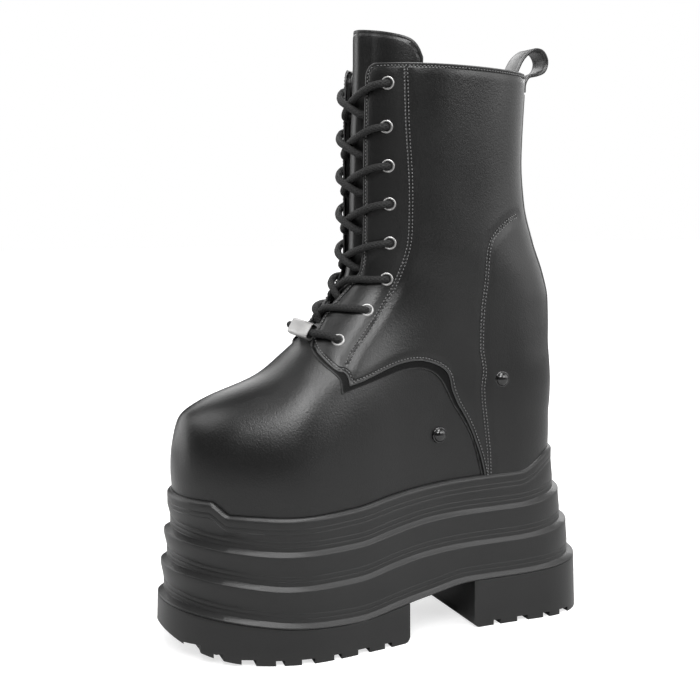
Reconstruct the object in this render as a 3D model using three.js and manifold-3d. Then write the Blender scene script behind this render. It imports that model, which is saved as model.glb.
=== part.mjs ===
// Left platform lace-up boot: a tall laced ankle boot on a thick stepped platform sole.
// Millimetres, +Z up. The toe points along -Y, the outer side is +X and the boot stands on z = 0.
import * as THREE from "three";
import { mergeVertices } from "three/addons/utils/BufferGeometryUtils.js";
import Module from "manifold-3d";

const wasm = await Module();
wasm.setup();

// Driving dimensions
const toeTip = -144; // the sole is 288 mm long on the floor
const heelTip = 144;
const wall = 2.6; // leather and lining of the upper together
const fitGap = 0.3; // between curved pieces that meet
const cupDepth = 9; // how far the upper sits down inside the sole's rim
const rimWidth = 2.4; // the sole's top ledge, outside the upper
const insoleThick = 5;
const tongueThick = 2.4;
const liningGap = 0.8; // between the upper's inside and the tongue or the insole
const laceRadius = 2.3;
const stayHalf = 13.5; // half width of the back strip
const stayThick = 1.8;
const stayGap = 0.6; // under the back strip, where the heel curves in and out
const loopHalf = 9; // half width of the pull loop
const loopThick = 1.9;
const legCentre = -3; // middle line of the shaft
const ringPoints = 36; // round each section of the upper and the sole
const cupGap = 0.4; // between the upper and the wall of the cup

// ---------- Curves through short tables ----------

// A smooth curve through two columns of a table that never swings past the table's own values.
function curve(rows, from, to) {
  const x = rows.map((row) => row[from]);
  const y = rows.map((row) => row[to]);
  const last = x.length - 1;
  const slopes = x.slice(1).map((next, i) => (y[i + 1] - y[i]) / (next - x[i]));
  const tangents = x.map((_, i) => {
    const before = slopes[Math.max(i - 1, 0)];
    const after = slopes[Math.min(i, last - 1)];
    return before * after > 0 ? (2 * before * after) / (before + after) : 0;
  });
  return (value) => {
    const at = THREE.MathUtils.clamp(value, x[0], x[last]);
    let i = 0;
    while (i < last - 1 && at > x[i + 1]) i++;
    const step = x[i + 1] - x[i];
    const t = (at - x[i]) / step;
    const rise = t * t * (3 - 2 * t);
    const lead = t * (1 - t) * (1 - t) * step * tangents[i];
    const trail = t * t * (t - 1) * step * tangents[i + 1];
    return y[i] + (y[i + 1] - y[i]) * rise + lead + trail;
  };
}

const smooth = (low, high, value) => THREE.MathUtils.smoothstep(value, low, high);
const mix = THREE.MathUtils.lerp;

// ---------- The last: side outline and plan ----------

// Where the upper's front and back stand at each height, and how wide the leg is there.
const sideOutline = [
  { z: 72, front: -131, back: 119.5, legHalf: 36 },
  { z: 98, front: -132.8, back: 121.5, legHalf: 36 },
  { z: 108, front: -133.5, back: 121.8, legHalf: 36 },
  { z: 120, front: -133.6, back: 122, legHalf: 36 },
  { z: 134, front: -130.8, back: 121.8, legHalf: 36 },
  { z: 144, front: -127.6, back: 122.6, legHalf: 36 },
  { z: 154, front: -113.4, back: 122.8, legHalf: 36 },
  { z: 168, front: -79, back: 122, legHalf: 36 },
  { z: 182, front: -61, back: 121, legHalf: 36.5 },
  { z: 196, front: -45.1, back: 121.2, legHalf: 37 },
  { z: 210, front: -34, back: 121, legHalf: 37 },
  { z: 226, front: -25, back: 117.4, legHalf: 37 },
  { z: 247, front: -21.5, back: 109.3, legHalf: 37 },
  { z: 272, front: -21, back: 101.9, legHalf: 37.5 },
  { z: 302, front: -20.5, back: 98.9, legHalf: 39 },
  { z: 358, front: -18.5, back: 100.8, legHalf: 42 },
];
const frontAt = curve(sideOutline, "z", "front");
const backAt = curve(sideOutline, "z", "back");
const legHalfAt = curve(sideOutline, "z", "legHalf");
const toeHeight = 120; // height of the foremost point of the toe
const collarTop = 358;

// The foot from above: its middle line, and its half width before the ends are rounded.
const footPlan = [
  { y: -134, centre: -13, half: 42 },
  { y: -100, centre: -6, half: 44.5 },
  { y: -65, centre: -0.5, half: 47 },
  { y: -30, centre: 0.5, half: 43 },
  { y: 5, centre: -1, half: 37.5 },
  { y: 40, centre: -2.5, half: 35 },
  { y: 80, centre: -3, half: 35.5 },
  { y: 125, centre: -3, half: 35.5 },
];
const footCentre = curve(footPlan, "y", "centre");
const footHalf = curve(footPlan, "y", "half");
const toeRound = { reach: 73, power: 2.35 };
const heelRound = { reach: 42, power: 2.3 };
const vampDome = { from: 94, power: 2.7 }; // the vamp leans in from this height to its ridge
const instep = { y: -45.1, z: 196, slope: 1.2 };
const ankle = { from: 162, to: 247 }; // the foot's sections turn into the leg's over these heights

// How much an outline has closed in near its toe and its heel.
function endRound(y, toe, heel) {
  const fore = THREE.MathUtils.clamp((toe + toeRound.reach - y) / toeRound.reach, 0, 1);
  const aft = THREE.MathUtils.clamp((y - heel + heelRound.reach) / heelRound.reach, 0, 1);
  const toeShare = (1 - fore ** toeRound.power) ** (1 / toeRound.power);
  return toeShare * (1 - aft ** heelRound.power) ** (1 / heelRound.power);
}

// Height of the foot's ridge above a place: the front outline up to the instep, found by halving,
// and a straight line past it, under the leg.
function ridgeAt(y) {
  if (y > instep.y) return instep.z + instep.slope * (y - instep.y);
  let low = toeHeight;
  let high = instep.z;
  for (let i = 0; i < 24; i++) {
    const middle = (low + high) / 2;
    if (frontAt(middle) < y) low = middle;
    else high = middle;
  }
  return (low + high) / 2;
}

function upperHalf(y, z) {
  const front = frontAt(z);
  const back = backAt(z);
  const rise = THREE.MathUtils.clamp((z - vampDome.from) / (ridgeAt(y) - vampDome.from), 0, 1);
  const dome = Math.sqrt(1 - rise ** vampDome.power);
  const foot = footHalf(y) * endRound(y, frontAt(Math.min(z, toeHeight)), back) * dome;
  const along = THREE.MathUtils.clamp((2 * y - front - back) / (back - front), -1, 1);
  const leg = legHalfAt(z) * Math.sqrt(1 - along ** 2);
  return mix(foot, leg, smooth(ankle.from, ankle.to, z));
}

const upperCentre = (y, z) => mix(footCentre(y), legCentre, smooth(142, 232, z));

// A point of the upper's outer face at a height. The angle runs from the front (0), over the
// outer side, to the back (pi) and round the inner side.
function onSection(angle, z) {
  const y = mix(frontAt(z), backAt(z), (1 - Math.cos(angle)) / 2);
  return new THREE.Vector3(upperCentre(y, z) + Math.sign(Math.sin(angle)) * upperHalf(y, z), y, z);
}

// The same point moved out of the face, or into it.
function offFace(angle, z, out) {
  const turn = 0.02;
  const lift = 0.5;
  const round = onSection(angle + turn, z).sub(onSection(angle - turn, z));
  const upward = onSection(angle, z + lift).sub(onSection(angle, z - lift));
  return onSection(angle, z).addScaledVector(round.cross(upward).normalize(), out);
}

const halfSteps = (count) => Array.from({ length: count }, (_, i) => (2 * Math.PI * (i + 0.5)) / count);
const ringAngles = halfSteps(ringPoints);

// A ring of the upper between two heights that change along the foot.
function upperRing(lowAt, highAt, share, out) {
  return ringAngles.map((angle) => {
    let z = lowAt(0);
    for (let i = 0; i < 4; i++) {
      const y = mix(frontAt(z), backAt(z), (1 - Math.cos(angle)) / 2);
      z = mix(lowAt(y), highAt(y), share);
    }
    return offFace(angle, z, out);
  });
}

// The angle at which the face stands a given distance across from its middle line, near the
// front or near the back.
function angleAcross(across, z, atBack = false) {
  let low = 0.001;
  let high = Math.PI / 2;
  for (let i = 0; i < 24; i++) {
    const middle = (low + high) / 2;
    const y = mix(frontAt(z), backAt(z), (1 - Math.cos(atBack ? Math.PI - middle : middle)) / 2);
    if (upperHalf(y, z) < Math.abs(across)) low = middle;
    else high = middle;
  }
  const found = atBack ? Math.PI - low : low;
  return across < 0 ? -found : found;
}

const overFront = (across, z, out) => offFace(angleAcross(across, z), z, out);

// ---------- Solids from points ----------

// Joins rings of equal length. They turn anticlockwise from above and climb the outside. A closed
// set makes a hollow band; an open set is capped across, first point to last.
function loft(rings, closed = false) {
  const count = rings[0].length;
  const index = [];
  const quad = (a, b, c, d) => index.push(a, b, c, a, c, d);
  for (let j = 0; j < (closed ? rings.length : rings.length - 1); j++) {
    const low = j * count;
    const high = ((j + 1) % rings.length) * count;
    for (let i = 0; i < count; i++) {
      const next = (i + 1) % count;
      quad(low + i, low + next, high + next, high + i);
    }
  }
  const top = (rings.length - 1) * count;
  for (let i = 0; !closed && i < count / 2 - 1; i++) {
    const far = count - 1 - i;
    quad(i, far, far - 1, i + 1);
    quad(top + i, top + i + 1, top + far - 1, top + far);
  }
  const geometry = new THREE.BufferGeometry();
  const points = rings.flat().flatMap((point) => point.toArray());
  geometry.setAttribute("position", new THREE.Float32BufferAttribute(points, 3));
  geometry.setIndex(index);
  return geometry;
}

// A sheet with a thickness: pointAt(u, v, side) gives its face (side 1) and its back (side 0),
// with u to the right and v upwards as seen from in front of the face.
function sheet(pointAt, uSteps, vSteps) {
  const rings = [];
  for (let v = 0; v <= vSteps; v++) {
    const face = [];
    const back = [];
    for (let u = 0; u <= uSteps; u++) {
      face.push(pointAt(u / uSteps, v / vSteps, 1));
      back.unshift(pointAt(u / uSteps, v / vSteps, 0));
    }
    rings.push([...face, ...back]);
  }
  return loft(rings);
}

// A round cord through points.
function cord(points, steps) {
  const sides = 8;
  const section = new THREE.Shape();
  for (let i = 0; i < sides; i++) {
    const angle = (2 * Math.PI * (i + 0.5)) / sides;
    section[i ? "lineTo" : "moveTo"](laceRadius * Math.cos(angle), laceRadius * Math.sin(angle));
  }
  section.closePath();
  return new THREE.ExtrudeGeometry(section, { steps, extrudePath: new THREE.CatmullRomCurve3(points) });
}

function solidOf(geometry) {
  const bare = geometry.clone();
  bare.deleteAttribute("normal");
  bare.deleteAttribute("uv");
  const merged = mergeVertices(bare, 1e-3);
  const vertProperties = new Float32Array(merged.attributes.position.array);
  const triVerts = new Uint32Array(merged.index.array);
  return new wasm.Manifold(new wasm.Mesh({ numProp: 3, vertProperties, triVerts }));
}

function geometryOf(solid) {
  const { vertProperties, triVerts } = solid.getMesh();
  const geometry = new THREE.BufferGeometry();
  geometry.setAttribute("position", new THREE.BufferAttribute(vertProperties, 3));
  geometry.setIndex(new THREE.BufferAttribute(triVerts, 1));
  geometry.computeVertexNormals();
  return geometry;
}

// Takes several geometries out of one.
function cutFrom(geometry, cutters) {
  let solid = solidOf(geometry);
  for (const cutter of cutters) solid = solid.subtract(solidOf(cutter));
  return geometryOf(solid);
}

function block(width, depth, height, x, y, z) {
  const geometry = new THREE.BoxGeometry(width, depth, height);
  geometry.translate(x, y, z);
  return geometry;
}

// Turns a shape made along +Z to stand on the upper's face, and moves it there.
function standOnFace(geometry, foot, tip) {
  const up = tip.clone().sub(foot).normalize();
  geometry.applyQuaternion(new THREE.Quaternion().setFromUnitVectors(new THREE.Vector3(0, 0, 1), up));
  geometry.translate(foot.x, foot.y, foot.z);
  return geometry;
}

// ---------- Group, materials ----------

const boot = new THREE.Group();
boot.name = "platform_boot";

const leather = { color: 0x171717, roughness: 0.42, metalness: 0 };
const lining = { color: 0x201f1f, roughness: 0.85, metalness: 0 };
const rubber = { color: 0x242424, roughness: 0.62, metalness: 0 };
const lace = { color: 0x141414, roughness: 0.9, metalness: 0 };
const steel = { color: 0xa9abae, roughness: 0.28, metalness: 1 };
const darkMetal = { color: 0x1b1b1c, roughness: 0.2, metalness: 0.7 };

function place(name, geometry, finish) {
  const mesh = new THREE.Mesh(geometry, new THREE.MeshStandardMaterial(finish));
  mesh.name = name;
  boot.add(mesh);
}

// ---------- Sole ----------

// Heights along the sole: its rim, and the three ledges of its stepped wall.
const soleHeights = [
  { y: -144, rim: 88.5, second: 73, third: 53.5, fourth: 33 },
  { y: -112, rim: 88.5, second: 68, third: 48.6, fourth: 27.5 },
  { y: -76, rim: 87.5, second: 65.3, third: 44.7, fourth: 23.1 },
  { y: -34, rim: 89.5, second: 66.2, third: 45.5, fourth: 21.5 },
  { y: -8, rim: 93.5, second: 70.4, third: 50, fourth: 25.2 },
  { y: 20, rim: 96.8, second: 74.4, third: 53.5, fourth: 29 },
  { y: 46, rim: 98.4, second: 75.7, third: 54.7, fourth: 32.6 },
  { y: 84, rim: 99.6, second: 76.5, third: 55.4, fourth: 33 },
  { y: 144, rim: 101, second: 84, third: 62, fourth: 38 },
];
const rimAt = curve(soleHeights, "y", "rim");
const ledges = ["second", "third", "fourth"].map((name) => curve(soleHeights, "y", name));
const toeBumper = { height: 7.5, full: -119, gone: -111 }; // the rim stands higher round the toe
const heelBumper = { height: 10.5, from: 86, full: 118 }; // and round the heel
const toeSpring = { height: 15, from: -68, power: 3.6 };
const rimTopAt = (y) =>
  rimAt(y) +
  toeBumper.height * (1 - smooth(toeBumper.full, toeBumper.gone, y)) +
  heelBumper.height * smooth(heelBumper.from, heelBumper.full, y);
const cupFloorAt = (y) => rimAt(y) - cupDepth;

// The sole's outline on the floor; its outline at the rim follows the upper.
const floorPlan = [
  { y: -144, centre: -7.5, half: 48 },
  { y: -100, centre: -4.5, half: 53.5 },
  { y: -62, centre: 0, half: 55.5 },
  { y: -20, centre: 0, half: 51 },
  { y: 20, centre: -2, half: 46 },
  { y: 62, centre: -3, half: 43.5 },
  { y: 144, centre: -2, half: 44.5 },
];
const floorCentre = curve(floorPlan, "y", "centre");
const floorHalf = curve(floorPlan, "y", "half");

// A point of the sole's outline. The share is 0 at the rim and 1 on the floor.
function onSole(angle, share, heightAt) {
  const along = (1 - Math.cos(angle)) / 2;
  const side = Math.sign(Math.sin(angle));
  const edge = rimWidth + cupGap;
  const rimToe = frontAt(rimAt(toeTip)) - edge;
  const rimHeel = backAt(rimAt(heelTip)) + edge;
  const rimY = mix(rimToe, rimHeel, along);
  const rimHalf = (footHalf(rimY) + edge) * endRound(rimY, rimToe, rimHeel);
  const floorY = mix(toeTip, heelTip, along);
  const floorX = floorCentre(floorY) + side * floorHalf(floorY) * endRound(floorY, toeTip, heelTip);
  const y = mix(rimY, floorY, share);
  return new THREE.Vector3(mix(footCentre(rimY) + side * rimHalf, floorX, share), y, heightAt(y));
}

const soleRing = (share, heightAt) => ringAngles.map((angle) => onSole(angle, share, heightAt));

// The stepped wall: how far out each step of the wall starts and ends, from the rim down.
const steps = [
  { top: rimTopAt, bottom: ledges[0], upper: 0, lower: 0.1 },
  { top: ledges[0], bottom: ledges[1], upper: 0.32, lower: 0.42 },
  { top: ledges[1], bottom: ledges[2], upper: 0.62, lower: 0.72 },
];
const treadShare = { upper: 0.92, lower: 1 };

function makePlatform() {
  const rings = [];
  for (const step of [...steps].reverse()) {
    rings.push(soleRing(step.lower, step.bottom), soleRing(step.upper, step.top));
  }
  // the cup that takes the upper's bottom edge
  rings.push(upperRing(rimTopAt, rimTopAt, 0, cupGap), upperRing(cupFloorAt, cupFloorAt, 0, cupGap));
  return loft(rings);
}

// The tread's underside: flat on the floor, curling up under the toe.
const springAt = (y) => {
  const share = Math.max(toeSpring.from - y, 0) / (toeSpring.from - toeTip);
  return toeSpring.height * share ** toeSpring.power;
};
const arch = { from: 2, to: 51 }; // the open space between the two tread blocks
const notch = { depth: 8, height: 3.2 };
const farSize = 200; // of the blocks that cut a tread off, larger than the tread
const notchRows = [
  { y: -132, width: 8 },
  { y: -119, width: 5 },
  { y: -103, width: 8 },
  { y: -85.5, width: 5 },
  { y: -69, width: 8 },
  { y: -50, width: 5 },
  { y: -32, width: 8 },
  { y: -14.5, width: 5 },
  { y: 68, width: 5 },
  { y: 87, width: 8 },
  { y: 105, width: 5 },
  { y: 120, width: 8 },
];

// One tread block: the tread's full outline, kept between two places along the sole.
function makeTread(from, to) {
  const topAt = (y) => ledges[2](y) - fitGap;
  const whole = loft([soleRing(treadShare.lower, springAt), soleRing(treadShare.upper, topAt)]);
  const away = [];
  if (from > toeTip) away.push(block(farSize, farSize, farSize, 0, from - farSize / 2, 0));
  if (to < heelTip) away.push(block(farSize, farSize, farSize, 0, to + farSize / 2, 0));
  for (const row of notchRows.filter(({ y }) => y > from && y < to)) {
    for (const side of [-1, 1]) {
      const reach = floorHalf(row.y) * endRound(row.y, toeTip, heelTip);
      const x = floorCentre(row.y) + side * reach;
      away.push(block(2 * notch.depth, row.width, 2 * notch.height, x, row.y, springAt(row.y)));
    }
  }
  return cutFrom(whole, away);
}

place("platform", makePlatform(), rubber);
place("outsole_forefoot", makeTread(toeTip, arch.from), rubber);
place("outsole_heel", makeTread(arch.to, heelTip), rubber);

// ---------- Upper ----------

const levelHeight = 130; // sections above this height are level
const footSections = 4;
const legSections = 15;
const collarAt = (y) => mix(collarTop - 0.5, collarTop - 3, smooth(-20, 95, y));
const bottomAt = (y) => cupFloorAt(y) + fitGap;

function upperWall(out) {
  const level = () => levelHeight;
  const rings = [];
  for (let i = 0; i < footSections; i++) rings.push(upperRing(bottomAt, level, i / footSections, out));
  for (let i = 0; i <= legSections; i++) {
    rings.push(upperRing(level, collarAt, (i / legSections) ** 1.35, out));
  }
  return rings;
}

// Half the opening between the facings, up the front.
const throat = [
  { z: 198, half: 2.5 },
  { z: 203, half: 6 },
  { z: 215, half: 8.5 },
  { z: 225, half: 11.8 },
  { z: 232, half: 14.4 },
  { z: 243, half: 15.2 },
  { z: 302, half: 15.8 },
  { z: 382, half: 16.2 },
];
const throatHalf = curve(throat, "z", "half");
const throatDepth = { from: -80, to: 10 }; // how far the cutter runs along Y

function throatCutter() {
  const shape = new THREE.Shape();
  shape.moveTo(legCentre - throat[0].half, throat[0].z);
  for (const row of throat) shape.lineTo(legCentre + row.half, row.z);
  for (const row of [...throat].reverse()) shape.lineTo(legCentre - row.half, row.z);
  const depth = throatDepth.to - throatDepth.from;
  const geometry = new THREE.ExtrudeGeometry(shape, { depth, bevelEnabled: false });
  geometry.rotateX(Math.PI / 2);
  geometry.translate(0, throatDepth.to, 0);
  return geometry;
}

// Eyelet rows from the bottom up: height, and distance from the middle line. The crossing above
// a row starts a share of the way to the next one, sunk into the throat or held out over it.
const eyeletRows = [
  { z: 189.4, across: 24.8, start: 0.66, out: 3.2 },
  { z: 207.2, across: 24.6, start: 0.42, out: 1.2 },
  { z: 226.3, across: 25.4, start: 0.3, out: -0.6 },
  { z: 248.6, across: 26.2, start: 0.3, out: -0.7 },
  { z: 272.5, across: 26.6, start: 0.3, out: -0.7 },
  { z: 295.5, across: 26.8, start: 0.3, out: -0.7 },
  { z: 319, across: 26.5, start: 0.3, out: -0.7 },
  { z: 345, across: 27.1 },
];
const eyelet = { flange: 4.2, barrel: 2.9, bore: 2.45, seat: 0.75, lip: 0.9, holeLength: 12, facets: 10 };
const eyeletSides = [
  { name: "lateral", side: 1 },
  { name: "medial", side: -1 },
];

function eyeletHole({ z, across }, side) {
  const radius = eyelet.barrel + fitGap;
  const geometry = new THREE.CylinderGeometry(radius, radius, eyelet.holeLength, eyelet.facets);
  geometry.rotateX(Math.PI / 2);
  return standOnFace(geometry, overFront(side * across, z, 0), overFront(side * across, z, 1));
}

function eyeletRing({ z, across }, side) {
  const low = -wall - fitGap;
  const profile = [
    new THREE.Vector2(eyelet.bore, low),
    new THREE.Vector2(eyelet.barrel, low),
    new THREE.Vector2(eyelet.barrel, eyelet.seat),
    new THREE.Vector2(eyelet.flange, eyelet.seat),
    new THREE.Vector2(eyelet.flange - 0.5, eyelet.seat + eyelet.lip),
    new THREE.Vector2(eyelet.bore, eyelet.seat + eyelet.lip),
    new THREE.Vector2(eyelet.bore, low),
  ];
  const geometry = new THREE.LatheGeometry(profile, eyelet.facets);
  geometry.rotateX(Math.PI / 2);
  return standOnFace(geometry, overFront(side * across, z, 0), overFront(side * across, z, 1));
}

const holes = eyeletRows.flatMap((row) => eyeletSides.map(({ side }) => eyeletHole(row, side)));
const upperShell = loft([...upperWall(0), ...upperWall(-wall).reverse()], true);
place("upper", cutFrom(upperShell, [throatCutter(), ...holes]), leather);
for (const { name, side } of eyeletSides) {
  eyeletRows.forEach((row, i) => place(`eyelet_${name}_${i + 1}`, eyeletRing(row, side), steel));
}

// ---------- Insole and tongue ----------

const insolePoints = 32;
const insoleRing = (up) =>
  halfSteps(insolePoints).map((angle) => {
    const y = mix(frontAt(toeHeight) + wall + 1, backAt(toeHeight) - wall - 1, (1 - Math.cos(angle)) / 2);
    const point = offFace(angle, cupFloorAt(y) + insoleThick, -wall - liningGap);
    point.z = cupFloorAt(point.y) + up;
    return point;
  });
place("insole", loft([insoleRing(fitGap), insoleRing(fitGap + insoleThick)]), lining);

// The tongue follows the inside of the front, deeper at its sides, and stands above the collar.
const tongue = { bottom: 192, top: 379, crown: 8, corner: 10, cornerPower: 16, sideDrop: 4.4 };
const tongueReach = curve([{ z: 192, turn: 22 }, { z: 250, turn: 50 }, { z: 358, turn: 64 }], "z", "turn");

function onTongue(u, v, side) {
  const share = 2 * u - 1;
  const drop = tongue.crown * share ** 2 + tongue.corner * share ** tongue.cornerPower;
  const z = mix(tongue.bottom, tongue.top - drop, v);
  const level = Math.min(z, collarTop);
  const angle = (share || 0.01) * THREE.MathUtils.degToRad(tongueReach(level));
  const across = Math.abs(onSection(angle, level).x - legCentre);
  const deep = wall + liningGap + tongue.sideDrop * smooth(3, 15, across);
  const point = offFace(angle, level, -deep - (1 - side) * tongueThick);
  point.z += z - level;
  return point;
}
place("tongue", sheet(onTongue, 10, 13), leather);

// ---------- Back strip and pull loop ----------

const stayEnds = { above: 2, below: 12 }; // from the sole's rim, and from the collar
function onStay(u, v, side) {
  const z = mix(rimTopAt(heelTip) + stayEnds.above, collarAt(heelTip) - stayEnds.below, v);
  const angle = angleAcross((1 - 2 * u) * stayHalf || 0.01, z, true);
  return offFace(angle, z, stayGap + side * stayThick);
}
place("backstay", sheet(onStay, 4, 14), leather);

// The loop's path from inside the collar, out over the edge and down to the back strip.
const loopPath = [
  { y: 94, z: 334 },
  { y: 94.6, z: 352 },
  { y: 97.6, z: 360.5 },
  { y: 102, z: 367.5 },
  { y: 109, z: 372.3 },
  { y: 115.5, z: 371.5 },
  { y: 119, z: 365.5 },
  { y: 117, z: 359 },
  { y: 111, z: 356.2 },
  { y: 105.5, z: 355 },
  { y: 102.6, z: 350.5 },
  { y: 102.2, z: 344.8 },
];
const loopCurve = new THREE.CatmullRomCurve3(loopPath.map(({ y, z }) => new THREE.Vector3(legCentre, y, z)));

function onLoop(u, v, side) {
  const tangent = loopCurve.getTangent(v);
  const out = new THREE.Vector3(0, -tangent.z, tangent.y);
  const point = loopCurve.getPoint(v).addScaledVector(out, (side - 0.5) * loopThick);
  point.x += (2 * u - 1) * loopHalf;
  return point;
}
place("pull_loop", sheet(onLoop, 1, 24), lace);

// ---------- Laces ----------

const laceOver = eyelet.seat + eyelet.lip + fitGap + laceRadius; // a lace's centre over an eyelet
const strandPoints = 7;

// One strand, from beside the far facing's edge up to the next eyelet on the other side.
function strand(low, high, side) {
  const startZ = mix(low.z, high.z, low.start);
  const edge = throatHalf(startZ);
  const from = laceRadius + 0.9 - edge;
  const points = Array.from({ length: strandPoints }, (_, i) => {
    const share = i / (strandPoints - 1);
    const across = mix(from, high.across, share);
    const out = mix(low.out, laceOver, smooth(-edge, high.across - eyelet.flange, across));
    return overFront(side * (across || 0.01), mix(startZ, high.z, share), out);
  });
  return cord(points, strandPoints);
}

for (let i = 0; i < eyeletRows.length - 1; i++) {
  const pair = eyeletSides.map(({ side }) => solidOf(strand(eyeletRows[i], eyeletRows[i + 1], side)));
  place(`lace_crossing_${i + 1}`, geometryOf(pair[0].add(pair[1])), lace);
}

// The lowest lace carries a flat metal sleeve, turned a little to the outer side.
const sleeve = { width: 18.5, depth: 10.5, thick: 6, bore: laceRadius + 0.2, across: 5, z: 191.4, out: 5.6 };
const sleeveCentre = overFront(sleeve.across, sleeve.z, sleeve.out);
const sleeveWay = new THREE.Vector3(0.94, 0.31, -0.14).normalize(); // along the lace in it
const sleeveRise = new THREE.Vector3(0, 0.54, 0.84).projectOnPlane(sleeveWay).normalize();
const alongSleeve = (reach) => sleeveCentre.clone().addScaledVector(sleeveWay, reach);
const barReach = [-12.5, -9.3, -4, 4, 9.3, 12.5]; // points of the lowest lace, from the sleeve's middle
const lowest = eyeletRows[0];
const barEnds = [-1, 1].map((side) => overFront(side * lowest.across, lowest.z, laceOver + 2 * fitGap));
place("lace_bar", cord([barEnds[0], ...barReach.map(alongSleeve), barEnds[1]], 14), lace);

function makeTag() {
  const channel = new THREE.CylinderGeometry(sleeve.bore, sleeve.bore, 2 * sleeve.width, 12);
  channel.rotateZ(Math.PI / 2);
  const tag = cutFrom(block(sleeve.width, sleeve.depth, sleeve.thick, 0, 0, 0), [channel]);
  const outward = sleeveWay.clone().cross(sleeveRise);
  tag.applyMatrix4(new THREE.Matrix4().makeBasis(sleeveWay, sleeveRise, outward));
  tag.translate(sleeveCentre.x, sleeveCentre.y, sleeveCentre.z);
  return tag;
}
place("lace_tag", makeTag(), steel);

// ---------- Studs ----------

const stud = { ring: 5, dome: 4, ringHeight: 1, domeHeight: 3 };
const studPlaces = [
  { name: "stud_vamp", y: 28, z: 127.6 },
  { name: "stud_counter", y: 72.8, z: 160.7 },
];
for (const { name, y, z } of studPlaces) {
  const along = (y - frontAt(z)) / (backAt(z) - frontAt(z));
  const angle = Math.acos(1 - 2 * along);
  const profile = [new THREE.Vector2(0, 0), new THREE.Vector2(stud.ring, 0)];
  profile.push(new THREE.Vector2(stud.ring, stud.ringHeight), new THREE.Vector2(stud.dome, stud.ringHeight));
  const arcSteps = 3;
  for (let i = 1; i <= arcSteps; i++) {
    const lift = ((Math.PI / 2) * i) / arcSteps;
    const height = stud.ringHeight + (stud.domeHeight - stud.ringHeight) * Math.sin(lift);
    profile.push(new THREE.Vector2(i < arcSteps ? stud.dome * Math.cos(lift) : 0, height));
  }
  const geometry = new THREE.LatheGeometry(profile, 12);
  geometry.rotateX(Math.PI / 2);
  place(name, standOnFace(geometry, offFace(angle, z, 2 * fitGap), offFace(angle, z, 2)), darkMetal);
}

export default boot;
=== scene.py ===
import math
import bpy
import numpy as np
from mathutils import Matrix, Vector


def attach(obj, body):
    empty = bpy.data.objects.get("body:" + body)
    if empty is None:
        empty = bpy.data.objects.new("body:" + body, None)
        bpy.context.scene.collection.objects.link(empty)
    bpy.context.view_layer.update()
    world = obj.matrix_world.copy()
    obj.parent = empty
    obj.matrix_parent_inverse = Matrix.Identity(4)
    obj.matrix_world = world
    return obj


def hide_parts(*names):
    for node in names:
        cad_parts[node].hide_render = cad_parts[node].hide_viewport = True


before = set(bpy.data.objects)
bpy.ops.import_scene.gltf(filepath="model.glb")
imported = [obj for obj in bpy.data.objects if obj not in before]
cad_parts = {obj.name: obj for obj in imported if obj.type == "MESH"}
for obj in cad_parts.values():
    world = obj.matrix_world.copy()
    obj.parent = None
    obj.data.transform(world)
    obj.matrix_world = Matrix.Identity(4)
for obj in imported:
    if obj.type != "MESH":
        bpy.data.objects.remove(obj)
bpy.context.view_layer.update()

# Left platform boot. Working units are millimetres; a finished piece is in metres.
mm = 0.001

# camera, floor and lights

cameraView = {"place": (0.6739, -0.3007, 0.2740), "turn": 67.34, "down": 7.32, "lens": 59.46, "sensor": 36}
studio = {
    "floorSize": 12, "floorTint": 0.50, "floorRoughness": 0.9, "paperGlow": 0.68, "farGlow": 1.05,
    "glowReach": (0.25, 0.9), "sky": 0.04, "aim": (0, 0, 0.16), "far": 1.5, "lampSize": (0.7, 0.6),
    "glow": {"way": (-0.2, 0.97, 0.15), "from": 0.3, "to": 0.95, "power": 1.1},
    # direction (degrees from the toe, and up), power, and its size where it isn't lampSize
    "lamps": {
        "front": {"way": (65, 42), "power": 14},
        "side": {"way": (92, 45), "power": 2.5},
        "high": {"way": (95, 78), "power": 17, "size": (0.8, 0.6)},
        "heel": {"way": (120, 25), "power": 7},
        "heelEnd": {"way": (150, 20), "power": 3},
        "toe": {"way": (-40, 12), "power": 9, "size": (1.3, 0.9)},
        "over": {"way": (-5, 42), "power": 5},
        "inner": {"way": (-70, 40), "power": 4},
        "innerLow": {"way": (-100, 30), "power": 4},
        "behind": {"way": (-140, 25), "power": 5},
    },
}


def deselect():
    if bpy.context.object and bpy.context.object.mode != "OBJECT":
        bpy.ops.object.mode_set(mode="OBJECT")
    bpy.ops.object.select_all(action="DESELECT")


def aimed(place, target):
    return (Vector(target) - Vector(place)).to_track_quat("-Z", "Y").to_euler()


def makeSky():
    # white to look at; as light, dim with a soft glow behind the heel
    world = bpy.data.worlds.new("studioSky")
    world.use_nodes = True
    tree = world.node_tree
    sky = tree.nodes["Background"]
    ways = tree.nodes.new("ShaderNodeTexCoord")
    near = tree.nodes.new("ShaderNodeVectorMath")
    near.operation = "DOT_PRODUCT"
    near.inputs[1].default_value = studio["glow"]["way"]
    tree.links.new(ways.outputs["Generated"], near.inputs[0])
    glow = tree.nodes.new("ShaderNodeMapRange")
    glow.interpolation_type = "SMOOTHSTEP"
    glow.inputs["From Min"].default_value = studio["glow"]["from"]
    glow.inputs["From Max"].default_value = studio["glow"]["to"]
    glow.inputs["To Min"].default_value = studio["sky"]
    glow.inputs["To Max"].default_value = studio["sky"] + studio["glow"]["power"]
    tree.links.new(near.outputs["Value"], glow.inputs["Value"])
    seen = tree.nodes.new("ShaderNodeLightPath")
    power = tree.nodes.new("ShaderNodeMix")
    power.inputs["B"].default_value = 1.0
    tree.links.new(glow.outputs["Result"], power.inputs["A"])
    tree.links.new(seen.outputs["Is Camera Ray"], power.inputs["Factor"])
    tree.links.new(power.outputs["Result"], sky.inputs["Strength"])
    sky.inputs["Color"].default_value = (1, 1, 1, 1)
    bpy.context.scene.world = world


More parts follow.
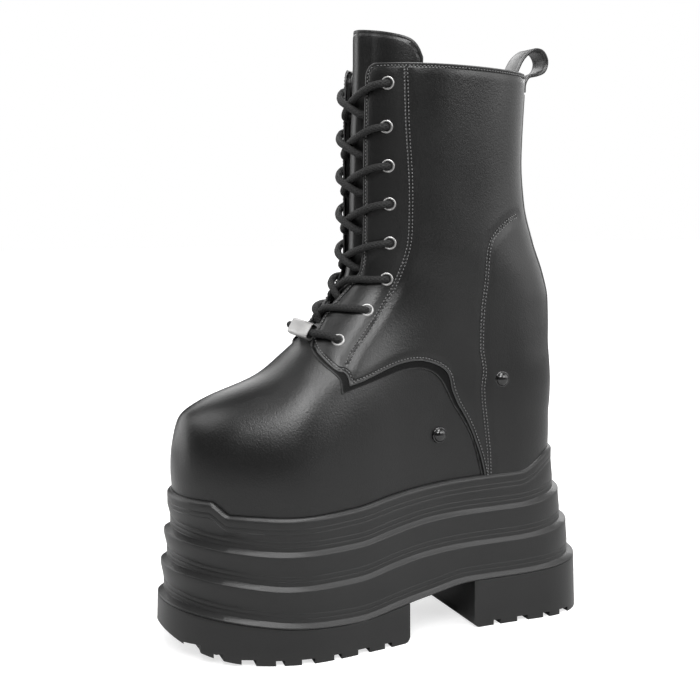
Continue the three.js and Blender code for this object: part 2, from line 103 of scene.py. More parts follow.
def makeStudio():
    deselect()
    turns = (math.radians(90 - cameraView["down"]), 0, math.radians(cameraView["turn"]))
    bpy.ops.object.camera_add(location=cameraView["place"], rotation=turns)
    camera = bpy.context.object
    camera.data.lens = cameraView["lens"]
    camera.data.sensor_width = cameraView["sensor"]
    camera.data.clip_end = 50
    bpy.context.scene.camera = camera
    bpy.ops.mesh.primitive_plane_add(size=studio["floorSize"])
    floor = bpy.context.object
    floor.name = "studioFloor"
    for name, lamp in studio["lamps"].items():
        turn, rise = (math.radians(part) for part in lamp["way"])
        way = Vector((math.sin(turn) * math.cos(rise), -math.cos(turn) * math.cos(rise), math.sin(rise)))
        place = Vector(studio["aim"]) + way * studio["far"]
        bpy.ops.object.light_add(type="AREA", location=place, rotation=aimed(place, studio["aim"]))
        light = bpy.context.object
        light.name = name + "Light"
        light.data.shape = "RECTANGLE"
        light.data.size, light.data.size_y = lamp.get("size", studio["lampSize"])
        light.data.energy = lamp["power"]
        light.visible_camera = False
    makeSky()
    bpy.context.scene.view_settings.view_transform = "Standard"
    return floor


class Wire:
    # a shader socket that arithmetic can be written on
    def __init__(self, finish, socket):
        self.finish = finish
        self.socket = socket

    def maths(self, operation, first, second=0.0):
        return self.finish.add("ShaderNodeMath", {"operation": operation}, {0: first, 1: second})

    def __add__(self, other):
        return self.maths("ADD", self, other)

    def __radd__(self, other):
        return self.maths("ADD", other, self)

    def __sub__(self, other):
        return self.maths("SUBTRACT", self, other)

    def __rsub__(self, other):
        return self.maths("SUBTRACT", other, self)

    def __mul__(self, other):
        return self.maths("MULTIPLY", self, other)

    def __rmul__(self, other):
        return self.maths("MULTIPLY", other, self)

    def __truediv__(self, other):
        return self.maths("DIVIDE", self, other)

    def __pow__(self, other):
        return self.maths("POWER", self, other)


class Finish:
    # one material: its nodes are added by add(), and its shader's sockets set by surface()
    def __init__(self, name):
        self.material = bpy.data.materials.new(name)
        self.material.use_nodes = True
        self.tree = self.material.node_tree
        self.shader = self.tree.nodes["Principled BSDF"]

    def link(self, socket, value):
        if isinstance(value, Wire):
            self.tree.links.new(value.socket, socket)
        else:
            socket.default_value = value

    def add(self, kind, settings={}, sockets={}, output=0):
        node = self.tree.nodes.new(kind)
        for name, value in settings.items():
            if name == "stops":
                while len(node.color_ramp.elements) < len(value):
                    node.color_ramp.elements.new(0.5)
                for element, (at, tint) in zip(node.color_ramp.elements, value):
                    element.position = at
                    element.color = (tint, tint, tint, 1)
            else:
                setattr(node, name, value)
        for name, value in sockets.items():
            self.link(node.inputs[name], value)
        return Wire(self, node.outputs[output])

    def place(self):
        return self.add("ShaderNodeTexCoord", output="Object")

    def layer(self, name):
        return self.add("ShaderNodeAttribute", {"attribute_name": name}, output="Fac")

    def noise(self, where, scale, detail=2.0):
        return self.add("ShaderNodeTexNoise", {}, {"Vector": where, "Scale": scale, "Detail": detail})

    def fade(self, value, low, high):
        ends = {"Value": value, "From Min": low, "From Max": high, "To Min": 0.0, "To Max": 1.0}
        return self.add("ShaderNodeMapRange", {"interpolation_type": "SMOOTHSTEP", "clamp": True}, ends)

    def blend(self, share, low, high):
        ends = {0: share, 6: low, 7: high}
        return self.add("ShaderNodeMix", {"data_type": "RGBA"}, ends, output=2)

    def bump(self, height, depth, under=None):
        sockets = {"Height": height, "Strength": 1.0, "Distance": depth}
        if under:
            sockets["Normal"] = under
        return self.add("ShaderNodeBump", {}, sockets)

    def surface(self, **sockets):
        for name, value in sockets.items():
            self.link(self.shader.inputs[name.replace("_", " ")], value)
        return self.material


def grey(value, warm=0.0):
    return (value * (1 + warm), value, value * (1 - warm), 1)


# the darkest tone here is painted shade on the under layer where it runs below the quarter
# the rim tone lightens panel edges: edge wear and a painted highlight on the folded edge
leatherLook = {
    "tint": 0.0045, "worn": 0.008, "rim": 0.05, "dull": 0.0006, "roughness": 0.30, "pebble": 1000,
    "pebbleDepth": 0.00008, "pore": 2600, "poreDepth": 0.00004, "wave": 26, "waveDepth": 0.0004,
    "seamDepth": 0.0006, "seamReach": (0.0, 1.3), "edgeWearAndHighlightReach": (0.1, 1.1), "patch": 18.0,
    "patchReach": (0.45, 0.75), "patchShare": 0.35, "patchGloss": 0.16, "pebbleGloss": 0.08, "dullGloss": 0.3,
}


def leatherFinish(name, tint=None, roughness=None, seams=True, shine=0.5):
    look = leatherLook
    finish = Finish(name)
    where = finish.place()
    patches = finish.noise(where, look["patch"], 3.0)
    edges = {"Vector": where, "Scale": look["pebble"], "Randomness": 1.0}
    pebbles = finish.add("ShaderNodeTexVoronoi", {"feature": "SMOOTH_F1"}, edges)
    creases = finish.noise(where, look["pebble"] * 0.45, 4.0)
    pores = finish.noise(where, look["pore"], 1.0)
    grain = 1.0 - pebbles * 0.8 + creases * 0.5
    normal = finish.bump(finish.noise(where, look["wave"], 1.0), look["waveDepth"])
    normal = finish.bump(grain, look["pebbleDepth"], normal)
    normal = finish.bump(pores, look["poreDepth"], normal)
    worn = finish.fade(patches, *look["patchReach"]) * look["patchShare"]
    tone = finish.blend(worn, grey(tint or look["tint"]), grey(look["worn"]))
    gloss = (roughness or look["roughness"]) + (patches - 0.5) * look["patchGloss"]
    gloss = gloss + pebbles * look["pebbleGloss"]
    if seams:
        groove = finish.fade(finish.layer("seam"), *look["seamReach"])
        normal = finish.bump(groove, look["seamDepth"], normal)
        # near a panel's edge the tone is lightened: edge wear and a painted highlight
        rim = 1.0 - finish.fade(finish.layer("edge"), *look["edgeWearAndHighlightReach"])
        # painted shade: where this layer is set the tone darkens, and the leather is also made rougher
        dull = finish.layer("dull")
        tone = finish.blend(rim, tone, grey(look["rim"]))
        tone = finish.blend(dull, tone, grey(look["dull"]))
        gloss = gloss + dull * look["dullGloss"]
    return finish.surface(Base_Color=tone, Roughness=gloss, Normal=normal, Specular_IOR_Level=shine)


rubberLook = {
    "tint": 0.008, "dust": 0.013, "roughness": 0.42, "speckle": 1500, "speckleDepth": 0.00006, "cloud": 14.0,
    "cloudReach": (0.5, 0.8), "cloudShare": 0.4, "cloudGloss": 0.14, "dustHeight": 0.012, "dustShare": 0.5,
}


def rubberFinish(name, tint=None):
    look = rubberLook
    finish = Finish(name)
    where = finish.place()
    cloud = finish.noise(where, look["cloud"], 4.0)
    speckle = finish.noise(where, look["speckle"], 2.0)
    height = finish.add("ShaderNodeSeparateXYZ", {}, {"Vector": where}, output="Z")
    low = 1.0 - finish.fade(height, 0.0, look["dustHeight"])
    dusty = finish.fade(cloud, *look["cloudReach"]) * look["cloudShare"] + low * look["dustShare"]
    tone = finish.blend(dusty, grey(tint or look["tint"]), grey(look["dust"], 0.02))
    gloss = look["roughness"] + (cloud - 0.5) * look["cloudGloss"]
    normal = finish.bump(speckle, look["speckleDepth"])
    return finish.surface(Base_Color=tone, Roughness=gloss, Normal=normal)


threadLook = {"dark": 0.066, "light": 0.165, "roughness": 0.5, "twist": 2600, "depth": 0.0001}


def threadFinish(name):
    look = threadLook
    finish = Finish(name)
    twist = finish.noise(finish.place(), look["twist"], 1.0)
    tone = finish.blend(twist, grey(look["dark"]), grey(look["light"]))
    normal = finish.bump(twist, look["depth"])
    return finish.surface(Base_Color=tone, Roughness=look["roughness"], Normal=normal)


cordLook = {
    "tint": 0.005, "fuzzAndRibHighlight": 0.016, "around": 6.0, "along": 6.0, "roughness": 0.72, "depth": 0.00035,
    "fuzz": 2400.0, "fuzzDepth": 0.0001, "fuzzShare": 0.4, "shine": 0.3,
}


def cordFinish(name):
    # a braid: two sets of ribs that climb round the cord in opposite ways; the ribs are painted lighter than
    # the grooves, painted highlight and shade, with random fuzz
    look = cordLook
    finish = Finish(name)
    parts = finish.add("ShaderNodeUVMap", {"uv_map": "UVMap"})
    turn = finish.add("ShaderNodeSeparateXYZ", {}, {"Vector": parts}, output="X") * look["around"]
    climb = finish.add("ShaderNodeSeparateXYZ", {}, {"Vector": parts}, output="Y") * look["along"]
    left = finish.add("ShaderNodeMath", {"operation": "PINGPONG"}, {0: turn + climb, 1: 0.5})
    right = finish.add("ShaderNodeMath", {"operation": "PINGPONG"}, {0: turn - climb, 1: 0.5})
    braid = finish.add("ShaderNodeMath", {"operation": "MAXIMUM"}, {0: left, 1: right}) * 2.0
    fuzz = finish.noise(finish.place(), look["fuzz"], 2.0)
    share = braid * (1 - look["fuzzShare"]) + fuzz * look["fuzzShare"]
    # painted highlight on the raised ribs and painted shade in the grooves, mixed with random fuzz
    tone = finish.blend(share, grey(look["tint"]), grey(look["fuzzAndRibHighlight"]))
    normal = finish.bump(braid, look["depth"], finish.bump(fuzz, look["fuzzDepth"]))
    return finish.surface(
        Base_Color=tone, Roughness=look["roughness"], Normal=normal, Specular_IOR_Level=look["shine"])


steelLook = {"tint": 0.42, "roughness": 0.36, "fine": 900.0, "brush": (60.0, 2400.0, 2400.0), "wander": 0.16}


def steelFinish(name, brushed=False):
    look = steelLook
    finish = Finish(name)
    stretch = {"Vector": finish.place(), "Scale": look["brush"] if brushed else (look["fine"],) * 3}
    lines = finish.noise(finish.add("ShaderNodeMapping", {}, stretch), 1.0, 3.0)
    tone = finish.blend(lines, grey(look["tint"] * 0.8, 0.01), grey(look["tint"], 0.01))
    normal = finish.bump(lines, 0.00003)
    gloss = look["roughness"] + lines * look["wander"]
    return finish.surface(Base_Color=tone, Metallic=1.0, Roughness=gloss, Normal=normal)


enamelLook = {"dark": 0.004, "light": 0.008, "cloud": 700.0, "roughness": 0.14, "wander": 0.10, "coat": 0.4}


def enamelFinish(name):
    look = enamelLook
    finish = Finish(name)
    cloud = finish.noise(finish.place(), look["cloud"], 2.0)
    tone = finish.blend(cloud, grey(look["dark"]), grey(look["light"]))
    gloss = look["roughness"] + cloud * look["wander"]
    return finish.surface(Base_Color=tone, Roughness=gloss, Coat_Weight=look["coat"])


liningLook = {
    "light": 0.021, "dark": 0.0084, "knit": 1100.0, "loose": 0.35, "cloud": 30.0, "depth": 0.00025,
    "roughness": 0.85, "sheen": 0.2,
}


def liningFinish(name):
    # knitted lining: fine rows of small bumps, painted darker in the gaps between them as painted shade
    look = liningLook
    finish = Finish(name)
    where = finish.place()
    rows = {"Vector": where, "Scale": look["knit"], "Randomness": look["loose"]}
    dots = finish.add("ShaderNodeTexVoronoi", {}, rows)
    cloud = finish.noise(where, look["cloud"], 3.0)
    # painted shade: the tone darkens from each bump's middle to the gaps, with a random cloudy tone on top
    tone = finish.blend(dots + cloud * 0.4, grey(look["light"]), grey(look["dark"]))
    normal = finish.bump(1.0 - dots, look["depth"])
    return finish.surface(
        Base_Color=tone, Roughness=look["roughness"], Normal=normal, Sheen_Weight=look["sheen"])


fineStep = 0.5  # a curve is kept as values this far apart


def curve(rows, columnIn, columnOut, soften=5.0):
    # a smooth curve through two columns of a short table
    x = np.array([row[columnIn] for row in rows], float)
    y = np.array([row[columnOut] for row in rows], float)
    slope = np.diff(y) / np.diff(x)
    before = np.concatenate([slope[:1], slope])
    after = np.concatenate([slope, slope[-1:]])
    same = before * after > 0
    tangent = np.where(same, 2 * before * after / np.where(same, before + after, 1), 0)
    fine = np.arange(x[0], x[-1] + fineStep / 2, fineStep)
    i = np.clip(np.searchsorted(x, fine, side="right") - 1, 0, len(x) - 2)
    step = x[i + 1] - x[i]
    t = (fine - x[i]) / step
    value = y[i] + (y[i + 1] - y[i]) * t * t * (3 - 2 * t)
    value += t * (1 - t) ** 2 * step * tangent[i] + t * t * (t - 1) * step * tangent[i + 1]
    if soften:
        reach = int(soften / fineStep)
        lead = value[0] + slope[0] * fineStep * np.arange(-reach, 0)
        trail = value[-1] + slope[-1] * fineStep * np.arange(1, reach + 1)
        window = np.hanning(2 * reach + 1)
        value = np.convolve(np.concatenate([lead, value, trail]), window / window.sum(), mode="valid")
    return lambda at: np.interp(at, fine, value)


def smooth(low, high, value):
    t = np.clip((value - low) / (high - low), 0, 1)
    return t * t * (3 - 2 * t)


def mix(low, high, share):
    return low + (high - low) * share


# height, front, back, half width of the leg
sideOutline = [
    (72, -131, 119.5, 36), (98, -132.8, 121.5, 36), (108, -133.5, 121.8, 36), (120, -133.6, 122, 36),
    (134, -130.8, 121.8, 36), (144, -127.6, 122.6, 36), (154, -113.4, 122.8, 36), (168, -79, 122, 36),
    (182, -61, 121, 36.5), (196, -45.1, 121.2, 37), (210, -34, 121, 37), (226, -25, 117.4, 37),
    (247, -21.5, 109.3, 37), (272, -21, 101.9, 37.5), (302, -20.5, 98.9, 39), (358, -18.5, 100.8, 42),
]
frontAt = curve(sideOutline, 0, 1)
backAt = curve(sideOutline, 0, 2)
legHalfAt = curve(sideOutline, 0, 3)
# along the foot: middle line, half width before the ends are rounded
footPlan = [
    (-134, -13, 42), (-100, -6, 44.5), (-65, -0.5, 47), (-30, 0.5, 43),
    (5, -1, 37.5), (40, -2.5, 35), (80, -3, 35.5), (125, -3, 35.5),
]
footCentre = curve(footPlan, 0, 1)
footHalf = curve(footPlan, 0, 2)
last = {
    "legCentre": -3.0, "toeHeight": 120.0, "collarTop": 358.0, "toeReach": 73.0, "toePower": 2.35,
    "heelReach": 42.0, "heelPower": 2.3, "domeFrom": 94.0, "domePower": 2.7, "instepY": -45.1,
    "instepZ": 196.0, "instepSlope": 1.2, "ankleLow": 162.0, "ankleHigh": 247.0, "centreLow": 142.0,
    "centreHigh": 232.0, "wall": 2.6,
}


def endRound(y, toe, heel):
    fore = np.clip((toe + last["toeReach"] - y) / last["toeReach"], 0, 1)
    aft = np.clip((y - heel + last["heelReach"]) / last["heelReach"], 0, 1)
    toeShare = (1 - fore ** last["toePower"]) ** (1 / last["toePower"])
    return toeShare * (1 - aft ** last["heelPower"]) ** (1 / last["heelPower"])


ridgeHeights = np.arange(last["toeHeight"], last["instepZ"] + fineStep / 2, fineStep)
ridgeFronts = frontAt(ridgeHeights)


def ridgeAt(y):
    # the height of the vamp's top line
    past = last["instepZ"] + last["instepSlope"] * (y - last["instepY"])
    return np.where(y > last["instepY"], past, np.interp(y, ridgeFronts, ridgeHeights))


def upperHalf(y, z):
    # half the width of the upper: the foot's dome, then the leg's oval above the ankle
    front, back = frontAt(z), backAt(z)
    rise = np.clip((z - last["domeFrom"]) / (ridgeAt(y) - last["domeFrom"]), 0, 1)
    dome = np.sqrt(1 - rise ** last["domePower"])
    foot = footHalf(y) * endRound(y, frontAt(np.minimum(z, last["toeHeight"])), back) * dome
    along = np.clip((2 * y - front - back) / (back - front), -1, 1)
    leg = legHalfAt(z) * np.sqrt(1 - along**2)
    return mix(foot, leg, smooth(last["ankleLow"], last["ankleHigh"], z))


def upperY(angle, z):
    return mix(frontAt(z), backAt(z), (1 - np.cos(angle)) / 2)


def onSection(angle, z):
    y = upperY(angle, z)
    centre = mix(footCentre(y), last["legCentre"], smooth(last["centreLow"], last["centreHigh"], z))
    return np.stack([centre + np.sign(np.sin(angle)) * upperHalf(y, z), y, z + 0 * y], axis=-1)


def unit(v):
    return v / np.maximum(np.linalg.norm(v, axis=-1, keepdims=True), 1e-9)


probe = {"turn": 0.02, "rise": 0.5, "soleTurn": 0.01, "halvings": 24}


def faceNormal(angle, z):
    angle, z = np.broadcast_arrays(np.asarray(angle, float), np.asarray(z, float))
    across = onSection(angle + probe["turn"], z) - onSection(angle - probe["turn"], z)
    upward = onSection(angle, z + probe["rise"]) - onSection(angle, z - probe["rise"])
    return unit(np.cross(across, upward))


def offFace(angle, z, out):
    # a point held off the last's face; the angle runs from the front over the outer side to the back
    angle, z = np.broadcast_arrays(np.asarray(angle, float), np.asarray(z, float))
    return onSection(angle, z) + faceNormal(angle, z) * np.asarray(out, float)[..., None]


def angleAcross(across, z, atBack=False):
    # the angle at which the face stands that far from its middle line
    across, z = np.broadcast_arrays(np.asarray(across, float), np.asarray(z, float))
    low = np.full(across.shape, 0.001)
    high = np.full(across.shape, math.pi / 2)
    for _ in range(probe["halvings"]):
        middle = (low + high) / 2
        turn = math.pi - middle if atBack else middle
        near = upperHalf(upperY(turn, z), z) < np.abs(across)
        low = np.where(near, middle, low)
        high = np.where(near, high, middle)
    found = math.pi - low if atBack else low
    return np.where(across < 0, -found, found)


def overFront(across, z, out):
    return offFace(angleAcross(across, z), z, out)


# along the sole: rim, and its three ledges
soleHeights = [
    (-144, 88.5, 73, 53.5, 33), (-112, 88.5, 68, 48.6, 27.5), (-76, 87.5, 65.3, 44.7, 23.1),
    (-34, 89.5, 66.2, 45.5, 21.5), (-8, 93.5, 70.4, 50, 25.2), (20, 96.8, 74.4, 53.5, 29),
    (46, 98.4, 75.7, 54.7, 32.6), (84, 99.6, 76.5, 55.4, 33), (144, 101, 85.5, 62.5, 38),
]
rimAt = curve(soleHeights, 0, 1)
ledgeAt = [curve(soleHeights, 0, column) for column in (2, 3, 4)]
# along the sole: middle line and half width on the floor
floorPlan = [
    (-144, -7.5, 48), (-100, -4.5, 53.5), (-62, 0, 55.5), (-20, 0, 51), (20, -2, 46), (62, -3, 43.5),
    (144, -2, 44.5),
]
floorCentre = curve(floorPlan, 0, 1)
floorHalf = curve(floorPlan, 0, 2)
sole = {
    "toe": -144.0, "heel": 144.0, "edge": 2.8, "cupDepth": 9.0, "toeBumper": 7.5, "toeFull": -119.5,
    "toeGone": -110.5, "heelBumper": 10.5, "heelFrom": 86.0, "heelFull": 118.0, "springHeight": 15.0,
    "springFrom": -68.0, "springPower": 3.6, "archFrom": 2.0, "archTo": 51.0,
}


def toeStep(y):
    # 1 round the toe, then a straight drop with a small turn at each end
    t = np.clip((sole["toeGone"] - y) / (sole["toeGone"] - sole["toeFull"]), 0, 1)
    return mix(t, smooth(0, 1, t), 0.35)


def rimTopAt(y):
    heelRise = sole["heelBumper"] * smooth(sole["heelFrom"], sole["heelFull"], y)
    return rimAt(y) + sole["toeBumper"] * toeStep(y) + heelRise


def cupFloorAt(y):
    return rimAt(y) - sole["cupDepth"]


def springAt(y):
    share = np.maximum(sole["springFrom"] - y, 0) / (sole["springFrom"] - sole["toe"])
    return sole["springHeight"] * share ** sole["springPower"]


def soleXY(angle, share):
    # the sole's outline from its rim (0) to the floor (1)
    along = (1 - np.cos(angle)) / 2
    side = np.sign(np.sin(angle))
    rimToe = frontAt(rimAt(sole["toe"])) - sole["edge"]
    rimHeel = backAt(rimAt(sole["heel"])) + sole["edge"]
    rimY = mix(rimToe, rimHeel, along)
    rimX = footCentre(rimY) + side * (footHalf(rimY) + sole["edge"]) * endRound(rimY, rimToe, rimHeel)
    floorY = mix(sole["toe"], sole["heel"], along)
    floorX = floorCentre(floorY) + side * floorHalf(floorY) * endRound(floorY, sole["toe"], sole["heel"])
    return np.stack([mix(rimX, floorX, share), mix(rimY, floorY, share)], axis=-1)


def soleNormal(angle, share):
    tangent = unit(soleXY(angle + probe["soleTurn"], share) - soleXY(angle - probe["soleTurn"], share))
    return np.stack([tangent[..., 1], -tangent[..., 0]], axis=-1)


def onSole(angle, share, out, height):
    flat = soleXY(angle, share) + soleNormal(angle, share) * np.asarray(out, float)[..., None]
    return np.concatenate([flat, (height + 0 * flat[..., 0])[..., None]], axis=-1)


def modify(piece, kind, **settings):
    deselect()
    piece.select_set(True)
    bpy.context.view_layer.objects.active = piece
    step = piece.modifiers.new(kind.title(), kind)
    for name, value in settings.items():
        setattr(step, name, value)
    bpy.ops.object.modifier_apply(modifier=step.name)


def roundEdges(piece, width, segments=2, sharper=60):
    turn = math.radians(sharper)
    modify(piece, "BEVEL", width=width * mm, segments=segments, limit_method="ANGLE", angle_limit=turn)


def thicken(piece, thick, rounding, segments=2):
    # gives a sheet its thickness inwards and rounds its edges
    modify(piece, "SOLIDIFY", thickness=thick * mm, offset=-1)
    roundEdges(piece, rounding, segments)


def edit(piece, *steps):
    # runs edit mode operators on all of a piece
    deselect()
    piece.select_set(True)
    bpy.context.view_layer.objects.active = piece
    bpy.ops.object.mode_set(mode="EDIT")
    bpy.ops.mesh.select_all(action="SELECT")
    for step in steps:
        step()
    bpy.ops.object.mode_set(mode="OBJECT")


sewReach = 0.02  # points nearer than this are merged


def draped(name, columns, rows, placeAt):
    # a grid of quads laid where placeAt(u, v) says: u runs to the right and v up, seen from outside
    deselect()
    bpy.ops.mesh.primitive_grid_add(x_subdivisions=columns, y_subdivisions=rows, size=1)
    piece = bpy.context.object
    piece.name = piece.data.name = name
    flat = np.empty(3 * len(piece.data.vertices))
    piece.data.vertices.foreach_get("co", flat)
    flat = flat.reshape(-1, 3)
    u = np.round((flat[:, 0] + 0.5) * columns) / columns
    v = np.round((flat[:, 1] + 0.5) * rows) / rows
    points = placeAt(u, v)
    piece.data.vertices.foreach_set("co", (points * mm).astype(np.float32).ravel())
    piece.data.update()
    return piece


def sewSeam(piece):
    edit(piece, lambda: bpy.ops.mesh.remove_doubles(threshold=sewReach * mm))


def closeEnds(piece):
    def fill():
        bpy.ops.mesh.select_all(action="DESELECT")
        bpy.ops.mesh.select_non_manifold(
            extend=False, use_multi_face=False, use_non_contiguous=False, use_verts=False)
        bpy.ops.mesh.edge_face_add()
    edit(piece, fill)


def outward(piece):
    edit(piece, lambda: bpy.ops.mesh.normals_make_consistent(inside=False))


def finish(piece, material, slotName, *nodes, smoothAngle=None):
    # shading, material, and what the piece stands for in the frame
    deselect()
    piece.select_set(True)
    bpy.context.view_layer.objects.active = piece
    if smoothAngle:
        bpy.ops.object.shade_smooth_by_angle(angle=math.radians(smoothAngle))
    else:
        bpy.ops.object.shade_smooth()
    piece.data.materials.clear()
    piece.data.materials.append(material)
    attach(piece, "root")
    if nodes:
        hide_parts(*nodes)
    return piece


def joined(name, pieces):
    deselect()
    for piece in pieces:
        piece.select_set(True)
    bpy.context.view_layer.objects.active = pieces[0]
    if len(pieces) > 1:
        bpy.ops.object.join()
    whole = bpy.context.object
    whole.name = whole.data.name = name
    return whole


def spaced(points, step):
    # the same line with its points a step apart
    gaps = np.linalg.norm(np.diff(points, axis=0), axis=1)
    reach = np.concatenate([[0], np.cumsum(gaps)])
    count = max(int(round(reach[-1] / step)), 2)
    at = np.linspace(0, reach[-1], count + 1)
    return np.stack([np.interp(at, reach, points[:, k]) for k in range(points.shape[1])], axis=1)


def bowed(points, each=12):
    # a smooth line through a few points
    points = np.asarray(points, float)
    gaps = np.sqrt(np.linalg.norm(np.diff(points, axis=0), axis=1)) + 1e-6
    knots = np.concatenate([[0], np.cumsum(gaps)])
    ends = np.vstack([2 * points[0] - points[1], points, 2 * points[-1] - points[-2]])
    times = np.concatenate([[-gaps[0]], knots, [knots[-1] + gaps[-1]]])
    line = []
    for i in range(len(points) - 1):
        p = ends[i:i + 4]
        t = times[i:i + 4]
        for at in np.linspace(t[1], t[2], each, endpoint=False):
            a = [mix(p[k], p[k + 1], (at - t[k]) / (t[k + 1] - t[k])) for k in range(3)]
            b = [mix(a[k], a[k + 1], (at - t[k]) / (t[k + 2] - t[k])) for k in range(2)]
            line.append(mix(b[0], b[1], (at - t[1]) / (t[2] - t[1])))
    line.append(points[-1])
    return np.array(line)


def distanceTo(points, line):
    # how far each point is from a line
    nearest = np.full(len(points), 1e9)
    for start in range(0, len(points), 4000):
        part = points[start:start + 4000]
        gaps = np.linalg.norm(part[:, None, :] - line[None, :, :], axis=2)
        nearest[start:start + 4000] = gaps.min(axis=1)
    return nearest


def setLayer(piece, name, values):
    layer = piece.data.attributes.new(name, "FLOAT", "POINT")
    layer.data.foreach_set("value", np.asarray(values, np.float32))


def rowsOf(piece):
    flat = np.empty(3 * len(piece.data.vertices), np.float32)
    piece.data.vertices.foreach_get("co", flat)
    return flat.reshape(-1, 3) / mm


def onUpper(rows, out=0.0):
    # seam rows of (degrees round from the front, height) as points off the last's face
    rows = np.asarray(rows, float)
    return offFace(np.radians(rows[:, 0]), rows[:, 1], np.full(len(rows), out))


seams = {
    # the upper layer's edge: from the throat's foot down to the point, then the derby line to the rim
    "facingFoot": [(8.2, 203), (14.5, 190.6), (20.1, 187.2), (34.8, 179.1), (48.6, 171.6)],
    "quarterFront": [(51.1, 171.2), (60.9, 163.2)],
    "derby": [
        (60.9, 163.2), (62.9, 164.8), (68.9, 171), (74.6, 174.6), (82.1, 175.7), (88.7, 173.5), (95.9, 168.6),
        (104.7, 156.7), (113.9, 137.1), (120.1, 110.5), (122.6, 90),
    ],
    # the under layer's edge, a band's width outside it
    "bandFront": [(13, 197), (20, 186.2), (28.5, 181), (39.5, 174.9), (50.9, 168.5), (63.2, 158.8)],
    "bandDerby": [
        (63.2, 158.8), (66.7, 162.7), (71.5, 166.8), (77.3, 170.3), (83.7, 171), (88.7, 169.4), (96.2, 163.9),
        (103.7, 155.3), (111.2, 140.7), (116.2, 126.1), (120.3, 102), (121.8, 88),
    ],
    # unseen: where the quarter's two patches meet, from the derby's top round to the back
    "parting": [(100, 181), (130, 192), (155, 200), (180, 204)],
    "eyeletRow": [
        (52.3, 353.7), (55.2, 323), (59, 284), (57.7, 252), (54.6, 238), (51, 224), (48.6, 209), (47.2, 195),
        (47.5, 185), (49.5, 175.5),
    ],
    "counter": [
        (136, 264.6), (126, 262), (112.6, 254.3), (106.2, 246.9), (102.4, 234.4), (100.9, 214.8),
        (102.9, 200.7), (108.6, 180.1), (119.2, 147.1), (122.7, 118), (123.6, 92),
    ],
}
panel = {
    "baseOut": -0.5, "bandOut": 0.35, "quarterOut": 1.25, "thick": 1.2, "puff": 0.6,
    "puffReach": (0.5, 7.0), "sunk": 0.25, "rowInset": 2.0, "doubleGap": 2.1, "rounding": 0.4, "sample": 0.4,
}


collar = {"front": 357.5, "back": 355.0, "from": -20.0, "to": 95.0}


def collarAt(y):
    return mix(collar["front"], collar["back"], smooth(collar["from"], collar["to"], y))


# height, half width of the opening between the facings
throat = [
    (190, 0.6), (198, 2.5), (203, 6), (215, 8.5), (225, 11.8), (232, 14.4), (243, 15.2), (302, 15.8),
    (382, 16.2),
]
throatHalf = curve(throat, 0, 1, soften=2.0)


facing = {"foot": 203.0, "top": 349.5, "corner": [(0.7, 352.5), (3.0, 355.3), (6.5, 357.2)], "points": 60}


def facingEdge():
    # from the throat's foot up to the rounded top corner, as (degrees, height)
    z = np.linspace(facing["foot"], facing["top"], facing["points"])
    angle = np.degrees(angleAcross(throatHalf(z), z))
    corner = [(angle[-1] + turn, height) for turn, height in facing["corner"]]
    return np.vstack([np.stack([angle, z], axis=1), corner])


def densely(rows, each=16):
    # a smooth line through a seam's rows
    return bowed(rows, each)


def along(line, share):
    # points at given shares of a line's real length
    space = onUpper(line)
    gaps = np.linalg.norm(np.diff(space, axis=0), axis=1)
    reach = np.concatenate([[0], np.cumsum(gaps)]) / gaps.sum()
    return np.stack([np.interp(share, reach, line[:, k]) for k in range(2)], axis=-1)


def quarterSides():
    # every edge of the quarter in (degrees, height), and the line that parts it in two at the derby's top
    whole = densely(seams["derby"])
    cut = int(np.argmax(whole[:, 1]))
    rise, fall = whole[:cut + 1], whole[cut:]
    rimAngles = np.linspace(fall[-1][0], 180.0, 40)
    rim = np.stack([rimAngles, np.full(40, fall[-1][1])], axis=1)
    front = densely(seams["quarterFront"][::-1] + seams["facingFoot"][::-1], 10)
    edge = facingEdge()
    topAngles = np.linspace(edge[-1][0], 180.0, 60)
    top = np.stack([topAngles, collarAt(upperY(np.radians(topAngles), 356.0))], axis=1)
    parting = densely([tuple(fall[0])] + seams["parting"])
    return {
        "rise": rise, "fall": fall, "rim": rim, "front": front, "edge": edge, "top": top, "parting": parting,
    }


def coons(bottom, left, top, right, u, v):
    # a patch between four sides, each given as points at shares of its length
    a, b = u[:, None], v[:, None]
    low, high = bottom(0 * u), bottom(0 * u + 1)
    far, near = top(0 * u + 1), top(0 * u)
    corners = (1 - a) * (1 - b) * low + a * (1 - b) * high + (1 - a) * b * near + a * b * far
    return (1 - b) * bottom(u) + b * top(u) + (1 - a) * left(v) + a * right(v) - corners


def oneAfterOther(first, second, cut):
    # a side made of two lines, the first up to a share of it
    def at(t):
        low = along(first, np.clip(t / cut, 0, 1))
        high = along(second, np.clip((t - cut) / (1 - cut), 0, 1))
        return np.where((t <= cut + 1e-9)[:, None], low, high)
    return at


def straight(start, end):
    return lambda t: mix(np.array(start)[None, :], np.array(end)[None, :], t[:, None])


quarterGrid = {"riseColumns": 26, "columns": 84, "rows": 128, "frontRows": 40, "heelRows": 80}


def legPatch(u, v):
    sides = quarterSides()
    columns = quarterGrid["riseColumns"] + quarterGrid["columns"]
    bottom = oneAfterOther(sides["rise"], sides["parting"], quarterGrid["riseColumns"] / columns)
    left = oneAfterOther(sides["front"], sides["edge"], quarterGrid["frontRows"] / quarterGrid["rows"])
    right = straight(sides["parting"][-1], sides["top"][-1])
    return coons(bottom, left, lambda t: along(sides["top"], t), right, u, v)


def heelPatch(u, v):
    sides = quarterSides()
    bottom = lambda t: along(sides["rim"], t)
    top = lambda t: along(sides["parting"], t)
    left = lambda t: along(sides["fall"][::-1], t)
    return coons(bottom, left, top, straight(sides["rim"][-1], sides["parting"][-1]), u, v)


def outlineOf():
    sides = quarterSides()
    path = [sides["fall"][::-1], sides["rise"][::-1], sides["front"], sides["edge"], sides["top"]]
    return np.vstack(path)


def mirrored(points, side):
    # the inner side is the outer side's rows with the angle turned round
    return points * np.array([side, 1.0])


